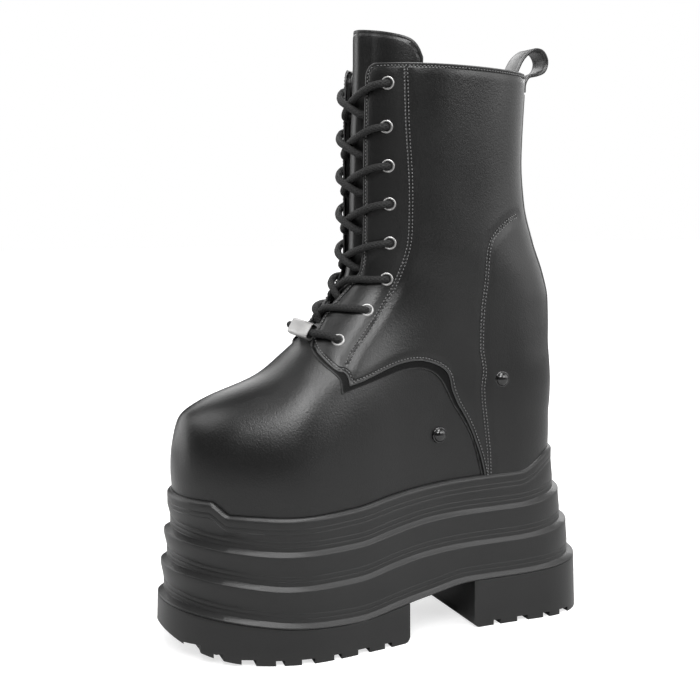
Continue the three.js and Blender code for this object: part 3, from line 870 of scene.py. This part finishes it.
def makeQuarter(name, side, material):
    # one side's upper layer, raised off the vamp and puffed between its seams
    lines = [densely(seams["eyeletRow"]), densely(seams["counter"])]
    lines = [spaced(onUpper(mirrored(line, side)), panel["sample"]) for line in lines]
    outline = spaced(onUpper(mirrored(outlineOf(), side)), panel["sample"])

    def laid(patch):
        def placeAt(u, v):
            chart = mirrored(patch(u if side > 0 else 1 - u, v), side)
            return onUpper(chart)
        return placeAt

    columns = quarterGrid["columns"]
    leg = draped("leg", quarterGrid["riseColumns"] + columns, quarterGrid["rows"], laid(legPatch))
    heel = draped("heel", columns, quarterGrid["heelRows"], laid(heelPatch))
    piece = joined(name, [leg, heel])
    sewSeam(piece)
    flat = rowsOf(piece)
    edge = distanceTo(flat, outline)
    seam = np.minimum.reduce([distanceTo(flat, line) for line in lines])
    inner = np.minimum(seam, np.abs(edge - panel["rowInset"]))
    puff = panel["puff"] * smooth(*panel["puffReach"], np.minimum(seam, edge)) - panel["sunk"]
    normals = np.empty(3 * len(flat), np.float32)
    piece.data.vertices.foreach_get("normal", normals)
    raised = flat + normals.reshape(-1, 3) * (panel["quarterOut"] + puff)[:, None]
    piece.data.vertices.foreach_set("co", (raised * mm).astype(np.float32).ravel())
    setLayer(piece, "edge", edge)
    setLayer(piece, "seam", inner)
    thicken(piece, panel["thick"], panel["rounding"])
    return finish(piece, material, "upper_leather")


shell = {
    "columns": 220, "rows": 120, "crowd": 1.25, "sunk": 0.4, "below": 1.2, "throatReach": (196.0, 203.0),
    "tuck": 1.6, "frontDrop": 7.0, "dropReach": (0.35, 0.62), "dropFrom": (0.8, 1.0), "noSeam": 50.0,
    "firstGuess": (80.0, 352.5), "rounds": 4,
}


def makeShell(material):
    # vamp and lining in one hollow shell, open up the front between the facings
    def placeAt(u, v):
        lift = v ** shell["crowd"]
        z = mix(*shell["firstGuess"], lift)
        for _ in range(shell["rounds"]):
            opened = smooth(*shell["throatReach"], z)
            gap = np.where(opened > 0, throatHalf(z) + shell["tuck"], 0.0) * opened
            start = np.where(gap > 0.01, angleAcross(gap, z), 0.0)
            angle = mix(start, 2 * math.pi - start, u)
            y = upperY(angle, z)
            z = mix(cupFloorAt(y) + shell["sunk"], collarAt(y) - shell["below"], lift)
        turned = np.where(angle > math.pi, angle - 2 * math.pi, angle)
        nearFront = 1 - smooth(*shell["dropReach"], np.abs(turned))
        z = z - shell["frontDrop"] * nearFront * smooth(*shell["dropFrom"], v)
        return offFace(turned, z, np.full(len(u), panel["baseOut"]))

    piece = draped("vampShell", shell["columns"], shell["rows"], placeAt)
    sewSeam(piece)
    seam = np.full(len(piece.data.vertices), shell["noSeam"])
    setLayer(piece, "seam", seam)
    setLayer(piece, "edge", seam)
    modify(piece, "SOLIDIFY", thickness=(last["wall"] + panel["baseOut"]) * mm, offset=-1)
    return finish(piece, material, "upper_leather", "upper", smoothAngle=60)


band = {
    "columns": 160, "rows": 5, "frontShare": 0.25, "tuck": 0.5, "thick": 0.85, "rounding": 0.25,
    "dullPaintedShadeReach": (0.5, 1.1),
}


def makeBand(name, side, material):
    # the under layer that shows as a dark band outside the quarter's edge, darkened with painted shade from
    # near its outer edge inward
    front, derby = densely(seams["bandFront"])[:-1], densely(seams["bandDerby"])
    outer = np.vstack([front, derby])
    foot = np.vstack([densely(seams["facingFoot"][1:])[:-1], densely(seams["quarterFront"])[:-1]])
    inner = np.vstack([foot, densely(seams["derby"])])

    def twoParts(line, tip, t):
        share = band["frontShare"]
        first = along(line[:tip + 1], np.clip(t / share, 0, 1))
        second = along(line[tip:], np.clip((t - share) / (1 - share), 0, 1))
        return np.where((t <= share)[:, None], first, second)

    def placeAt(u, v):
        t = u if side > 0 else 1 - u
        low = twoParts(outer, len(front), t)
        high = twoParts(inner, len(foot), t)
        reach = high + (high - low) * band["tuck"]
        return onUpper(mirrored(mix(low, reach, v[:, None]), side), panel["bandOut"])

    piece = draped(name, band["columns"], band["rows"], placeAt)
    points = rowsOf(piece)
    edge = distanceTo(points, onUpper(mirrored(outer, side), panel["bandOut"]))
    setLayer(piece, "edge", edge)
    setLayer(piece, "seam", np.full(len(points), shell["noSeam"]))
    # painted shade: the band darkens from just inside its outer edge to where it runs under the quarter
    setLayer(piece, "dull", smooth(*band["dullPaintedShadeReach"], edge))
    thicken(piece, band["thick"], band["rounding"])
    return finish(piece, material, "upper_leather")


stitch = {
    "pitch": 2.2, "long": 1.35, "wide": 0.8, "sides": 6, "rings": 4, "sink": -0.03, "doubleLift": 0.1,
    "clear": 2.6, "lowest": 93.0, "lowestEdge": 95.0, "inside": (95.0, 240.0),
}


def stitchRun(name, path):
    # one thread loop, repeated along a path by an array and bent to it by a curve
    deselect()
    bpy.ops.mesh.primitive_uv_sphere_add(segments=stitch["sides"], ring_count=stitch["rings"], radius=0.5)
    run = bpy.context.object
    run.name = name
    tip = Vector((stitch["long"], stitch["wide"], stitch["wide"])) * mm
    edit(
        run,
        lambda: bpy.ops.transform.rotate(value=math.pi / 2, orient_axis="Y", center_override=(0, 0, 0)),
        lambda: bpy.ops.transform.resize(value=tip, center_override=(0, 0, 0)),
        lambda: bpy.ops.transform.translate(value=(stitch["pitch"] * mm / 2, 0, 0)),
    )
    bpy.ops.curve.primitive_nurbs_path_add()
    guide = bpy.context.object
    guide.data.splines.clear()
    spline = guide.data.splines.new("POLY")
    points = spaced(path, 1.0)
    spline.points.add(len(points) - 1)
    flat = np.concatenate([points * mm, np.ones((len(points), 1))], axis=1)
    spline.points.foreach_set("co", flat.ravel())
    reach = np.linalg.norm(np.diff(points, axis=0), axis=1).sum()
    count = max(int(reach / stitch["pitch"]), 1)
    modify(
        run, "ARRAY", use_relative_offset=False, use_constant_offset=True,
        constant_offset_displace=(stitch["pitch"] * mm, 0, 0), count=count,
    )
    modify(run, "CURVE", object=guide, deform_axis="POS_X")
    bpy.data.objects.remove(guide)
    return run


def sidewise(line, side, shift, out):
    # a seam line moved across the face, to its left as it runs
    angle, z = np.radians(line[:, 0]) * side, line[:, 1]
    space = offFace(angle, z, np.full(len(z), out))
    tangent = unit(np.gradient(space, axis=0))
    return space + np.cross(faceNormal(angle, z), tangent) * shift * side


def insideOnly(path, edge, room):
    # keeps the part of a row that is far enough from an edge
    return path[distanceTo(path, edge) > room]


def insideWay(line, side):
    # which way across the face leads into the quarter
    middle = onUpper(mirrored(np.array([stitch["inside"]]), side))[0]
    k = len(line) // 2
    left, right = (sidewise(line, side, shift, 0.0)[k] for shift in (2.0, -2.0))
    return 1 if np.linalg.norm(left - middle) < np.linalg.norm(right - middle) else -1


def makeStitches(material):
    # double rows on the facing and the counter, single rows inside the quarter's edges
    runs = []
    top = panel["quarterOut"] + stitch["sink"]
    inset = panel["rowInset"]
    sides = quarterSides()
    derby = np.vstack([sides["rise"][:-1], sides["fall"]])
    lines = (derby, np.vstack([sides["front"], sides["edge"]]), sides["top"])
    for side in (1, -1):
        wholeEdge = spaced(onUpper(mirrored(outlineOf(), side), top), 0.5)
        for shift in (-panel["doubleGap"] / 2, panel["doubleGap"] / 2):
            row = sidewise(densely(seams["eyeletRow"]), side, shift, top + stitch["doubleLift"])
            runs.append(stitchRun("row", insideOnly(row, wholeEdge, stitch["clear"])))
            row = sidewise(densely(seams["counter"]), side, shift, top + stitch["doubleLift"])
            runs.append(stitchRun("row", row[row[:, 2] > stitch["lowest"]]))
        for line in lines:
            row = sidewise(line, side, insideWay(line, side) * inset, top)
            row = insideOnly(row, wholeEdge, inset * 0.93)
            runs.append(stitchRun("row", row[row[:, 2] > stitch["lowestEdge"]]))
    return finish(joined("upperStitching", runs), material, "lace_cord")


tier = {
    "starts": (0.0, 0.32, 0.62, 0.92), "footToe": -0.20, "footHeel": 0.06, "columns": 480, "heelBulge": 1.6,
    "bulgeFrom": 98.0, "bulgeTo": 138.0, "groove": 0.20, "grooveHalf": 0.5, "ledgeGrooves": (4.9, 8.0),
    "rimGrooves": (-9.2, -6.2),
    # rows of (out, up): the rounded corner below a ledge, the ledge's slope, and the rim's lip
    "corner": [(0.0, -1.2), (-0.1, -0.55), (-0.4, -0.12)],
    "slope": [(0.15, 1.85), (0.0, 2.2), (0.0, 2.9)],
    "lip": [(0.0, -3.4), (-0.05, -1.9), (-0.55, -1.1), (-1.2, -0.4), (-2.0, -0.05), (-2.7, 0.0)],
    "under": [(0.55, -6.0), (0.90, -1.2)],
    "cup": (-3.6, -9.0),
}


def makePlatform(material):
    # the wall's rows from the bottom up: share of the way to the floor's outline, out, height
    rows = []

    def row(share, out, topAt, lift):
        rows.append((share, out, lambda y: topAt(y) + lift))

    def fixed(share):
        return lambda angle: share + 0 * angle

    def groove(share, topAt, at):
        for step, deep in ((-1, 0), (0, 1), (1, 0)):
            row(share, -deep * tier["groove"], topAt, at + step * tier["grooveHalf"])

    def footOf(start):
        def foot(angle):
            lean = np.where(np.cos(angle) > 0, tier["footToe"], tier["footHeel"])
            return start + lean * np.cos(angle) ** 2
        return foot

    for share, out in tier["under"]:
        row(fixed(share), out, ledgeAt[2], -1.9)
    for k in (2, 1, 0):
        start, foot, lowAt = tier["starts"][k], footOf(tier["starts"][k]), ledgeAt[k]
        rimTier = len(rows) + len(tier["corner"])
        for out, lift in tier["corner"]:
            row(fixed(tier["starts"][k + 1]), out, lowAt, lift)
        for out, lift in tier["slope"]:
            row(foot, out, lowAt, lift)
        for at in tier["ledgeGrooves"]:
            groove(foot, lowAt, at)
        if k > 0:
            row(fixed(start), 0.0, ledgeAt[k - 1], -3.4)
    for at in tier["rimGrooves"]:
        groove(fixed(0.0), rimTopAt, at)
    for out, lift in tier["lip"]:
        row(fixed(0.0), out, rimTopAt, lift)
    inside = len(rows)
    row(fixed(0.0), -3.5, rimTopAt, -0.35)
    for out in tier["cup"]:
        row(fixed(0.0), out, cupFloorAt, 0.1)
    highest = len(rows) - 1

    def placeAt(u, v):
        angle = 2 * math.pi * u + 1e-4
        index = np.round(v * highest).astype(int)
        points = np.zeros((len(u), 3))
        for i, (share, out, height) in enumerate(rows):
            pick = index == i
            a = angle[pick]
            s = share(a)
            y = soleXY(a, s)[:, 1]
            bulging = rimTier <= i < inside
            bulge = tier["heelBulge"] * smooth(tier["bulgeFrom"], tier["bulgeTo"], y) if bulging else 0.0
            points[pick] = onSole(a, s, out + bulge + 0 * a, height(y))
        return points

    piece = draped("platform", tier["columns"], highest, placeAt)
    sewSeam(piece)
    closeEnds(piece)
    return finish(piece, material, "sole_rubber", "platform", smoothAngle=32)


tread = {
    "columns": 240, "levels": 9, "top": 0.92, "below": 1.6, "notchDepth": 8.0, "notchHeight": 3.2,
    "crossWidth": 3.6, "crossHeight": 3.2, "crossClear": 3.5, "crossLeast": 12, "crossFrom": -126,
    "crossTo": 128,
    "crossStep": 13.5, "endClear": 6.0, "bevel": 1.1, "corner": 4.5, "cornerLeans": (22.5, 45.0, 67.5),
    # notches at the edge: place along the sole, width
    "notches": [
        (-132, 8), (-119, 5), (-103, 8), (-85.5, 5), (-69, 8), (-50, 5), (-32, 8), (-14.5, 5),
        (68, 5), (87, 8), (105, 5), (120, 8),
    ],
}


def cutAway(piece, place, inward):
    # cuts the piece by a plane and keeps the part it points into
    edit(piece, lambda: bpy.ops.mesh.bisect(plane_co=place, plane_no=inward, use_fill=True, clear_inner=True))


def cutEnd(piece, at, way):
    # a straight end with its lower corner rounded in a few cuts
    cutAway(piece, (0, at * mm, 0), (0, way, 0))
    for lean in tread["cornerLeans"]:
        turn = math.radians(lean)
        inward = Vector((0, way * math.cos(turn), math.sin(turn)))
        middle = Vector((0, at + way * tread["corner"], tread["corner"])) * mm
        cutAway(piece, middle - inward * tread["corner"] * mm, inward)


def treadCutters(low, high):
    # notches round the edge and cross channels between them
    cutters = []

    def floorAcross(y):
        half = float(floorHalf(y) * endRound(np.array(y), sole["toe"], sole["heel"]))
        return float(floorCentre(y)), half, float(springAt(np.array(y)))

    for y, width in tread["notches"]:
        if low < y < high:
            centre, half, floor = floorAcross(y)
            for way in (-1, 1):
                size = (2 * tread["notchDepth"], width, 2 * tread["notchHeight"])
                cutters.append(cutter(size, (centre + way * half, y, floor)))
    for y in np.arange(tread["crossFrom"], tread["crossTo"], tread["crossStep"]):
        if low + tread["endClear"] < y < high - tread["endClear"]:
            centre, half, floor = floorAcross(y)
            width = 2 * (half - tread["notchDepth"] - tread["crossClear"])
            size = (width, tread["crossWidth"], 2 * tread["crossHeight"])
            if width > tread["crossLeast"]:
                cutters.append(cutter(size, (centre, y, floor)))
    return joined("treadCutter", cutters)


def makeTread(name, node, low, high, material):
    def placeAt(u, v):
        angle = 2 * math.pi * u + 1e-4
        share = mix(1.0, tread["top"], v)
        y = soleXY(angle, share)[:, 1]
        return onSole(angle, share, 0 * v, mix(springAt(y), ledgeAt[2](y) - tread["below"], v))

    piece = draped(name, tread["columns"], tread["levels"], placeAt)
    sewSeam(piece)
    closeEnds(piece)
    outward(piece)
    if low > sole["toe"]:
        cutEnd(piece, low, 1)
    if high < sole["heel"]:
        cutEnd(piece, high, -1)
    tool = treadCutters(low, high)
    modify(piece, "BOOLEAN", operation="DIFFERENCE", object=tool, solver="EXACT")
    bpy.data.objects.remove(tool)
    roundEdges(piece, tread["bevel"], sharper=50)
    return finish(piece, material, "tread_rubber", node, smoothAngle=45)


def cutter(size, place):
    # a block of that size standing round a place
    deselect()
    bpy.ops.mesh.primitive_cube_add(size=1)
    block = bpy.context.object
    edit(
        block,
        lambda: bpy.ops.transform.resize(value=Vector(size) * mm),
        lambda: bpy.ops.transform.translate(value=Vector(place) * mm),
    )
    return block


tongue = {
    "bottom": 192.0, "top": 379.0, "crown": 8.0, "corner": 10.0, "cornerPower": 16, "behind": 0.8,
    "sideDrop": 4.4, "dropReach": (3, 15), "thick": 2.2, "rounding": 0.8, "roll": 0.5, "rollReach": (0, 5),
    "columns": 60, "rows": 90, "rowInset": 2.6,
}
# height, degrees round from the front that the tongue reaches
tongueReach = curve([(192, 22), (250, 50), (358, 64)], 0, 1)


def tonguePoint(u, v, deeper):
    share = 2 * u - 1
    drop = tongue["crown"] * share**2 + tongue["corner"] * share ** tongue["cornerPower"]
    z = mix(tongue["bottom"], tongue["top"] - drop, v)
    level = np.minimum(z, last["collarTop"])
    angle = share * np.radians(tongueReach(level))
    across = np.abs(onSection(angle, level)[:, 0] - last["legCentre"])
    deep = last["wall"] + tongue["behind"] + tongue["sideDrop"] * smooth(*tongue["dropReach"], across)
    point = offFace(angle, level, -deep - deeper)
    point[:, 2] += z - level
    return point


def makeTongue(material):
    def placeAt(u, v):
        edge = np.minimum(np.minimum(u, 1 - u) * 70, (1 - v) * 170)
        return tonguePoint(u, v, 0.5 - tongue["roll"] * smooth(*tongue["rollReach"], edge))

    piece = draped("tongue", tongue["columns"], tongue["rows"], placeAt)
    share = np.linspace(0, 1, 200)
    sides = [tonguePoint(0 * share, share, 0.0), tonguePoint(share, 0 * share + 1, 0.0)]
    rim = np.vstack(sides + [tonguePoint(0 * share + 1, share, 0.0)])
    edge = distanceTo(rowsOf(piece), rim)
    setLayer(piece, "edge", edge)
    setLayer(piece, "seam", np.abs(edge - tongue["rowInset"]))
    thicken(piece, tongue["thick"], tongue["rounding"], 3)
    return finish(piece, material, "tongue_leather", "tongue")


# rows of the insole from below: inward of the lining, up from the cup's floor
insole = {
    "rows": [(1.5, 0.3), (0.9, 1.2), (0.9, 4.2), (1.8, 5.0)], "columns": 160, "level": 4.0, "outline": 100.0,
}


def makeInsole(material):
    def placeAt(u, v):
        angle = 2 * math.pi * u + 1e-4
        y = upperY(angle, insole["outline"])
        inward, up = np.array(insole["rows"])[np.round(v * 3).astype(int)].T
        point = offFace(angle, cupFloorAt(y) + insole["level"], -inward - last["wall"])
        point[:, 2] = cupFloorAt(y) + up
        return point

    piece = draped("insole", insole["columns"], 3, placeAt)
    sewSeam(piece)
    closeEnds(piece)
    return finish(piece, material, "insole_lining", "insole", smoothAngle=40)


backStrip = {
    "half": 13.5, "out": 2.15, "thick": 1.8, "above": 2.0, "below": 12.0, "crown": 0.55, "rounding": 0.4,
    "columns": 16, "rows": 150, "rowInset": 2.0,
}


def makeBackStrip(material):
    def placeAt(u, v):
        low = float(rimTopAt(np.array(sole["heel"]))) + backStrip["above"]
        high = float(collarAt(np.array(sole["heel"]))) - backStrip["below"]
        z = mix(low, high, v)
        across = (1 - 2 * u) * backStrip["half"]
        across = np.where(np.abs(across) < 0.01, 0.01, across)
        crown = backStrip["crown"] * (1 - (across / backStrip["half"]) ** 4)
        return offFace(angleAcross(across, z, atBack=True), z, backStrip["out"] + crown)

    piece = draped("backStrip", backStrip["columns"], backStrip["rows"], placeAt)
    edge = backStrip["half"] - np.abs(rowsOf(piece)[:, 0] - last["legCentre"])
    setLayer(piece, "edge", edge)
    setLayer(piece, "seam", np.abs(edge - backStrip["rowInset"]))
    thicken(piece, backStrip["thick"], backStrip["rounding"])
    return finish(piece, material, "stay_leather", "backstay")


loop = {
    "half": 9.0, "thick": 1.9, "step": 1.2,
    # its way in (along, height), and half of its section as shares of half width and thickness
    "path": [
        (94, 334), (94.6, 352), (97.6, 360.5), (102, 367.5), (109, 372.3), (115.5, 371.5), (119, 365.5),
        (117, 359), (111, 356.2), (105.5, 355), (102.6, 350.5), (102.2, 344.8),
    ],
    "section": [(-1, 0.0), (-0.93, 0.5), (-0.8, 0.42), (-0.72, 0.5), (0.72, 0.5), (0.8, 0.42), (0.93, 0.5)],
}


def makeLoop(material):
    line = spaced(bowed(loop["path"], 10), loop["step"])
    tangent = unit(np.gradient(line, axis=0))
    count = len(line) - 1
    section = loop["section"] + [(-across, -thick) for across, thick in loop["section"]]
    ring = np.array(section + section[:1])

    def placeAt(u, v):
        at = np.round(v * count).astype(int)
        side = ring[np.round(u * len(section)).astype(int)]
        normal = np.stack([-tangent[at][:, 1], tangent[at][:, 0]], axis=1)
        flat = line[at] + normal * (side[:, 1] * loop["thick"])[:, None]
        return np.stack([last["legCentre"] + side[:, 0] * loop["half"], flat[:, 0], flat[:, 1]], axis=1)

    piece = draped("pullLoop", len(section), count, placeAt)
    sewSeam(piece)
    closeEnds(piece)
    outward(piece)
    return finish(piece, material, "loop_strap", "pull_loop", smoothAngle=50)


# height, across, where the crossing above starts, as a share of the way to the next row
eyeletRows = [
    (189.4, 24.8, 0.66), (207.2, 24.6, 0.42), (226.3, 25.4, 0.3), (248.6, 26.2, 0.3),
    (272.5, 26.6, 0.3), (295.5, 26.8, 0.3), (319.0, 26.5, 0.3), (345.0, 27.1, 0.3),
]
eyelet = {"flange": 4.2, "bore": 2.55, "low": -3.2, "seat": 0.9, "lip": 1.0, "sheet": 0.25, "steps": 28}


def turned(name, profile, steps):
    # a profile of (radius, height) rows turned about +Z
    profile = np.array(profile, float)

    def placeAt(u, v):
        at = np.round(v * (len(profile) - 1)).astype(int)
        angle = 2 * math.pi * u
        radius = profile[at][:, 0]
        return np.stack([radius * np.cos(angle), radius * np.sin(angle), profile[at][:, 1]], axis=1)

    piece = draped(name, steps, len(profile) - 1, placeAt)
    sewSeam(piece)
    return piece


def standingCopy(model, name, foot, up):
    # a copy with a mesh of its own, stood on the face
    deselect()
    model.select_set(True)
    bpy.context.view_layer.objects.active = model
    bpy.ops.object.duplicate(linked=False)
    piece = bpy.context.object
    piece.name = piece.data.name = name
    turn = Vector((0, 0, 1)).rotation_difference(Vector(up)).to_matrix().to_4x4()
    piece.data.transform(Matrix.Translation(Vector(foot) * mm) @ turn)
    return piece


def makeEyelets(material):
    # one ring, copied to every hole
    flange, bore, seat = eyelet["flange"], eyelet["bore"], eyelet["seat"]
    middle = (flange + bore) / 2 + 0.1
    roll = [
        (middle + (flange - bore) / 2 * math.cos(turn), seat + eyelet["lip"] * math.sin(turn))
        for turn in np.linspace(-0.25, math.pi, 9)
    ]
    profile = [(flange - 0.5, seat - 0.35), *roll, (bore - 0.02, -1.0), (bore + 0.1, eyelet["low"])]
    model = turned("eyeletModel", profile, eyelet["steps"])
    modify(model, "SOLIDIFY", thickness=eyelet["sheet"] * mm, offset=-1)
    for side, word in ((1, "lateral"), (-1, "medial")):
        for i, (z, across, _) in enumerate(eyeletRows):
            angle = angleAcross(side * across, z)
            name = f"eyelet{word.title()}{i + 1}"
            ring = standingCopy(model, name, offFace(angle, z, 0.0), faceNormal(angle, z))
            finish(ring, material, "eyelet_metal", f"eyelet_{word}_{i + 1}")
    bpy.data.objects.remove(model)


lace = {
    "radius": 2.3, "over": 3.9, "under": -5.3, "sides": 12, "step": 0.9, "lows": (1.0, 0.2, -0.6),
    "overThis": 1.5, "overThat": -1.2,
}


def laceHalf(side):
    # one half of the lace, from the sleeve up through every eyelet on alternate sides
    rows = eyeletRows
    over, under = lace["over"], lace["under"]
    points = []

    def put(across, z, out):
        points.append(overFront(across if abs(across) > 0.01 else 0.01, z, out))

    z, across, _ = rows[0]
    put(side * (across - 4.5), z + 1.0, over + 0.6)
    put(side * (across - 1.2), z + 0.2, over - 1.0)
    put(side * across, z, 1.2)
    put(side * across, z + 0.4, -3.0)
    for i in range(len(rows) - 1):
        z, across, start = rows[i]
        zNext, acrossNext, _ = rows[i + 1]
        zStart = mix(z, zNext, start)
        edge = float(throatHalf(np.array(zStart)))
        low = lace["lows"][min(i, 2)]
        climb = lace["overThis"] if side > 0 else lace["overThat"]
        # behind the facing, up through the throat, over to the next eyelet's hole
        put(side * (across - 2.5), mix(z, zStart, 0.35), under)
        put(side * (edge + 1.5), mix(z, zStart, 0.8), under + 0.6)
        put(side * (edge - 3.2), zStart, low)
        put(side * (edge - 3.2) * 0.4, mix(zStart, zNext, 0.25), low + 0.6 + climb * 0.8)
        put(-side * edge * 0.35, mix(zStart, zNext, 0.5), low + 1.6 + climb)
        put(-side * (edge + 1.5), mix(zStart, zNext, 0.78), over - 0.3)
        put(-side * (acrossNext - 4.6), mix(zStart, zNext, 0.93), over)
        put(-side * (acrossNext - 0.9), zNext - 0.2, over - 1.4)
        put(-side * acrossNext, zNext, 0.0)
        put(-side * acrossNext, zNext + 0.3, -3.2)
        side = -side
    put(side * (rows[-1][1] - 1.5), rows[-1][0] - 3, under)
    return np.array(points)


def tube(name, line, radius, sides):
    # a round cord along a line, without twist
    tangent = unit(np.gradient(line, axis=0))
    side = unit(np.cross(tangent[0], (0.3, 0.2, 1.0)))
    frames = []
    for t in tangent:
        side = unit(side - t * np.dot(side, t))
        frames.append((side, np.cross(t, side)))
    frames = np.array(frames)
    count = len(line) - 1

    def placeAt(u, v):
        at = np.round(v * count).astype(int)
        turn = -2 * math.pi * u
        offset = frames[at, 0] * np.cos(turn)[:, None] + frames[at, 1] * np.sin(turn)[:, None]
        return line[at] + offset * radius

    piece = draped(name, sides, count, placeAt)
    length = np.linalg.norm(np.diff(line, axis=0), axis=1).sum()
    for corner in piece.data.uv_layers[0].data:
        corner.uv[1] = round(corner.uv[1] * count) / count * length / (2 * math.pi * radius)
    sewSeam(piece)
    closeEnds(piece)
    return piece


def makeLace(material):
    middle, way = sleeveFrame()[:2]
    bar = [middle + way * reach for reach in sleeve["lace"]]
    route = np.vstack([laceHalf(-1)[::-1], bar, laceHalf(1)])
    line = spaced(bowed(route, 10), lace["step"])
    piece = tube("lace", line, lace["radius"], lace["sides"])
    nodes = [f"lace_crossing_{i + 1}" for i in range(len(eyeletRows) - 1)] + ["lace_bar"]
    return finish(piece, material, "lace_cord", *nodes)


sleeve = {
    "width": 18.5, "depth": 10.5, "thick": 6.0, "wall": 0.7, "round": 1.9, "rim": 0.22,
    "across": 5.0, "z": 191.4, "out": 5.6, "way": (0.94, 0.31, -0.14), "rise": (0.0, 0.54, 0.84),
    "lace": (-12.5, -9.3, -4.0, 4.0, 9.3, 12.5),  # the lace's straight points along it
}


def sleeveFrame():
    # the sleeve's middle, the lace's way through it, its rise and its outward way
    middle = overFront(sleeve["across"], sleeve["z"], sleeve["out"])
    way = unit(np.array(sleeve["way"]))
    rise = np.array(sleeve["rise"])
    rise = unit(rise - way * np.dot(rise, way))
    return middle, way, rise, np.cross(way, rise)


def makeSleeve(material):
    # a flattened metal tube round the lowest lace
    middle, way, rise, out = sleeveFrame()
    wide, deep, thick, wall = sleeve["width"], sleeve["depth"], sleeve["thick"], sleeve["wall"]
    piece = cutter((wide, deep, thick), (0, 0, 0))
    piece.name = piece.data.name = "laceSleeve"
    core = cutter((wide * 2, deep - 2 * wall, thick - 2 * wall), (0, 0, 0))
    roundLong(piece, sleeve["round"])
    roundLong(core, sleeve["round"] - wall)
    modify(piece, "BOOLEAN", operation="DIFFERENCE", object=core, solver="EXACT")
    bpy.data.objects.remove(core)
    roundEdges(piece, sleeve["rim"])
    points = rowsOf(piece) @ np.array([way, rise, out]) + middle
    piece.data.vertices.foreach_set("co", (points * mm).astype(np.float32).ravel())
    return finish(piece, material, "tag_metal", "lace_tag", smoothAngle=35)


def roundLong(block, radius):
    # rounds the four long edges of a block that lies along X
    weights = block.data.attributes.new("bevel_weight_edge", "FLOAT", "EDGE")
    for edge in block.data.edges:
        ends = [block.data.vertices[k].co for k in edge.vertices]
        weights.data[edge.index].value = 1.0 if abs(ends[0].x - ends[1].x) > 1e-4 else 0.0
    modify(block, "BEVEL", width=radius * mm, segments=5, limit_method="WEIGHT")


stud = {
    "ring": 5.2, "dome": 4.4, "high": 2.8, "sunk": 0.9,
    # node, piece, place (along, height), how far its panel stands off the last
    "places": [
        ("stud_vamp", "studVamp", 28.0, 127.6, 0.6), ("stud_counter", "studCounter", 72.8, 160.7, 1.5),
    ],
}


def makeStuds(material):
    ring, dome, high = stud["ring"], stud["dome"], stud["high"]
    profile = [(ring + 0.1, 0.0), (ring, 0.9), (ring - 0.35, 1.35), (ring - 0.8, 1.4), (dome + 0.05, 0.95)]
    arch = np.linspace(0.05, math.pi / 2 - 0.02, 10)
    profile += [(dome * math.cos(turn), 0.95 + high * math.sin(turn)) for turn in arch]
    model = turned("studModel", profile, 36)
    closeEnds(model)
    for node, name, y, z, seat in stud["places"]:
        share = (y - frontAt(z)) / (backAt(z) - frontAt(z))
        angle = math.acos(1 - 2 * float(share))
        piece = standingCopy(model, name, offFace(angle, z, seat - stud["sunk"]), faceNormal(angle, z))
        finish(piece, material, "stud_enamel", node, smoothAngle=60)
    bpy.data.objects.remove(model)


def paintFloor(floor):
    # paper that looks white and glows for the camera only
    paint = Finish("studioPaper")
    away = paint.add("ShaderNodeVectorMath", {"operation": "LENGTH"}, {0: paint.place()}, output="Value")
    far = paint.fade(away, *studio["glowReach"])
    paper = paint.blend(far, grey(studio["paperGlow"]), grey(studio["farGlow"]))
    glow = paint.blend(paint.add("ShaderNodeLightPath", output="Is Camera Ray"), grey(0.0), paper)
    floor.data.materials.append(paint.surface(
        Base_Color=grey(studio["floorTint"]), Roughness=studio["floorRoughness"], Emission_Color=glow,
        Emission_Strength=1.0,
    ))


paintFloor(makeStudio())
print("studio ready")

upperLeather = leatherFinish("upperLeather")
makeShell(upperLeather)
print("shell ready")
# a darker, less shiny copy of the leather for the under layer: its darker tint is painted shade
shadedBandLeather = leatherFinish("shadedBandLeather", tint=0.002, shine=0.16)
for side, word in ((1, "Outer"), (-1, "Inner")):
    makeBand("derbyBand" + word, side, shadedBandLeather)
    makeQuarter("quarter" + word, side, upperLeather)
print("quarters ready")
makeStitches(threadFinish("thread"))
print("stitches ready")
soleRubber = rubberFinish("soleRubber")
makePlatform(soleRubber)
treadRubber = rubberFinish("treadRubber", 0.007)
makeTread("treadForefoot", "outsole_forefoot", sole["toe"], sole["archFrom"], treadRubber)
makeTread("treadHeel", "outsole_heel", sole["archTo"], sole["heel"], treadRubber)
print("sole ready")
makeTongue(leatherFinish("tongueLeather", roughness=0.33))
makeInsole(liningFinish("insoleLining"))
makeBackStrip(leatherFinish("stayLeather", tint=0.006))
makeLoop(leatherFinish("loopStrap", seams=False))
makeEyelets(steelFinish("eyeletSteel"))
makeLace(cordFinish("laceBraid"))
makeSleeve(steelFinish("sleeveSteel", brushed=True))
makeStuds(enamelFinish("studEnamel"))
print("small parts ready")
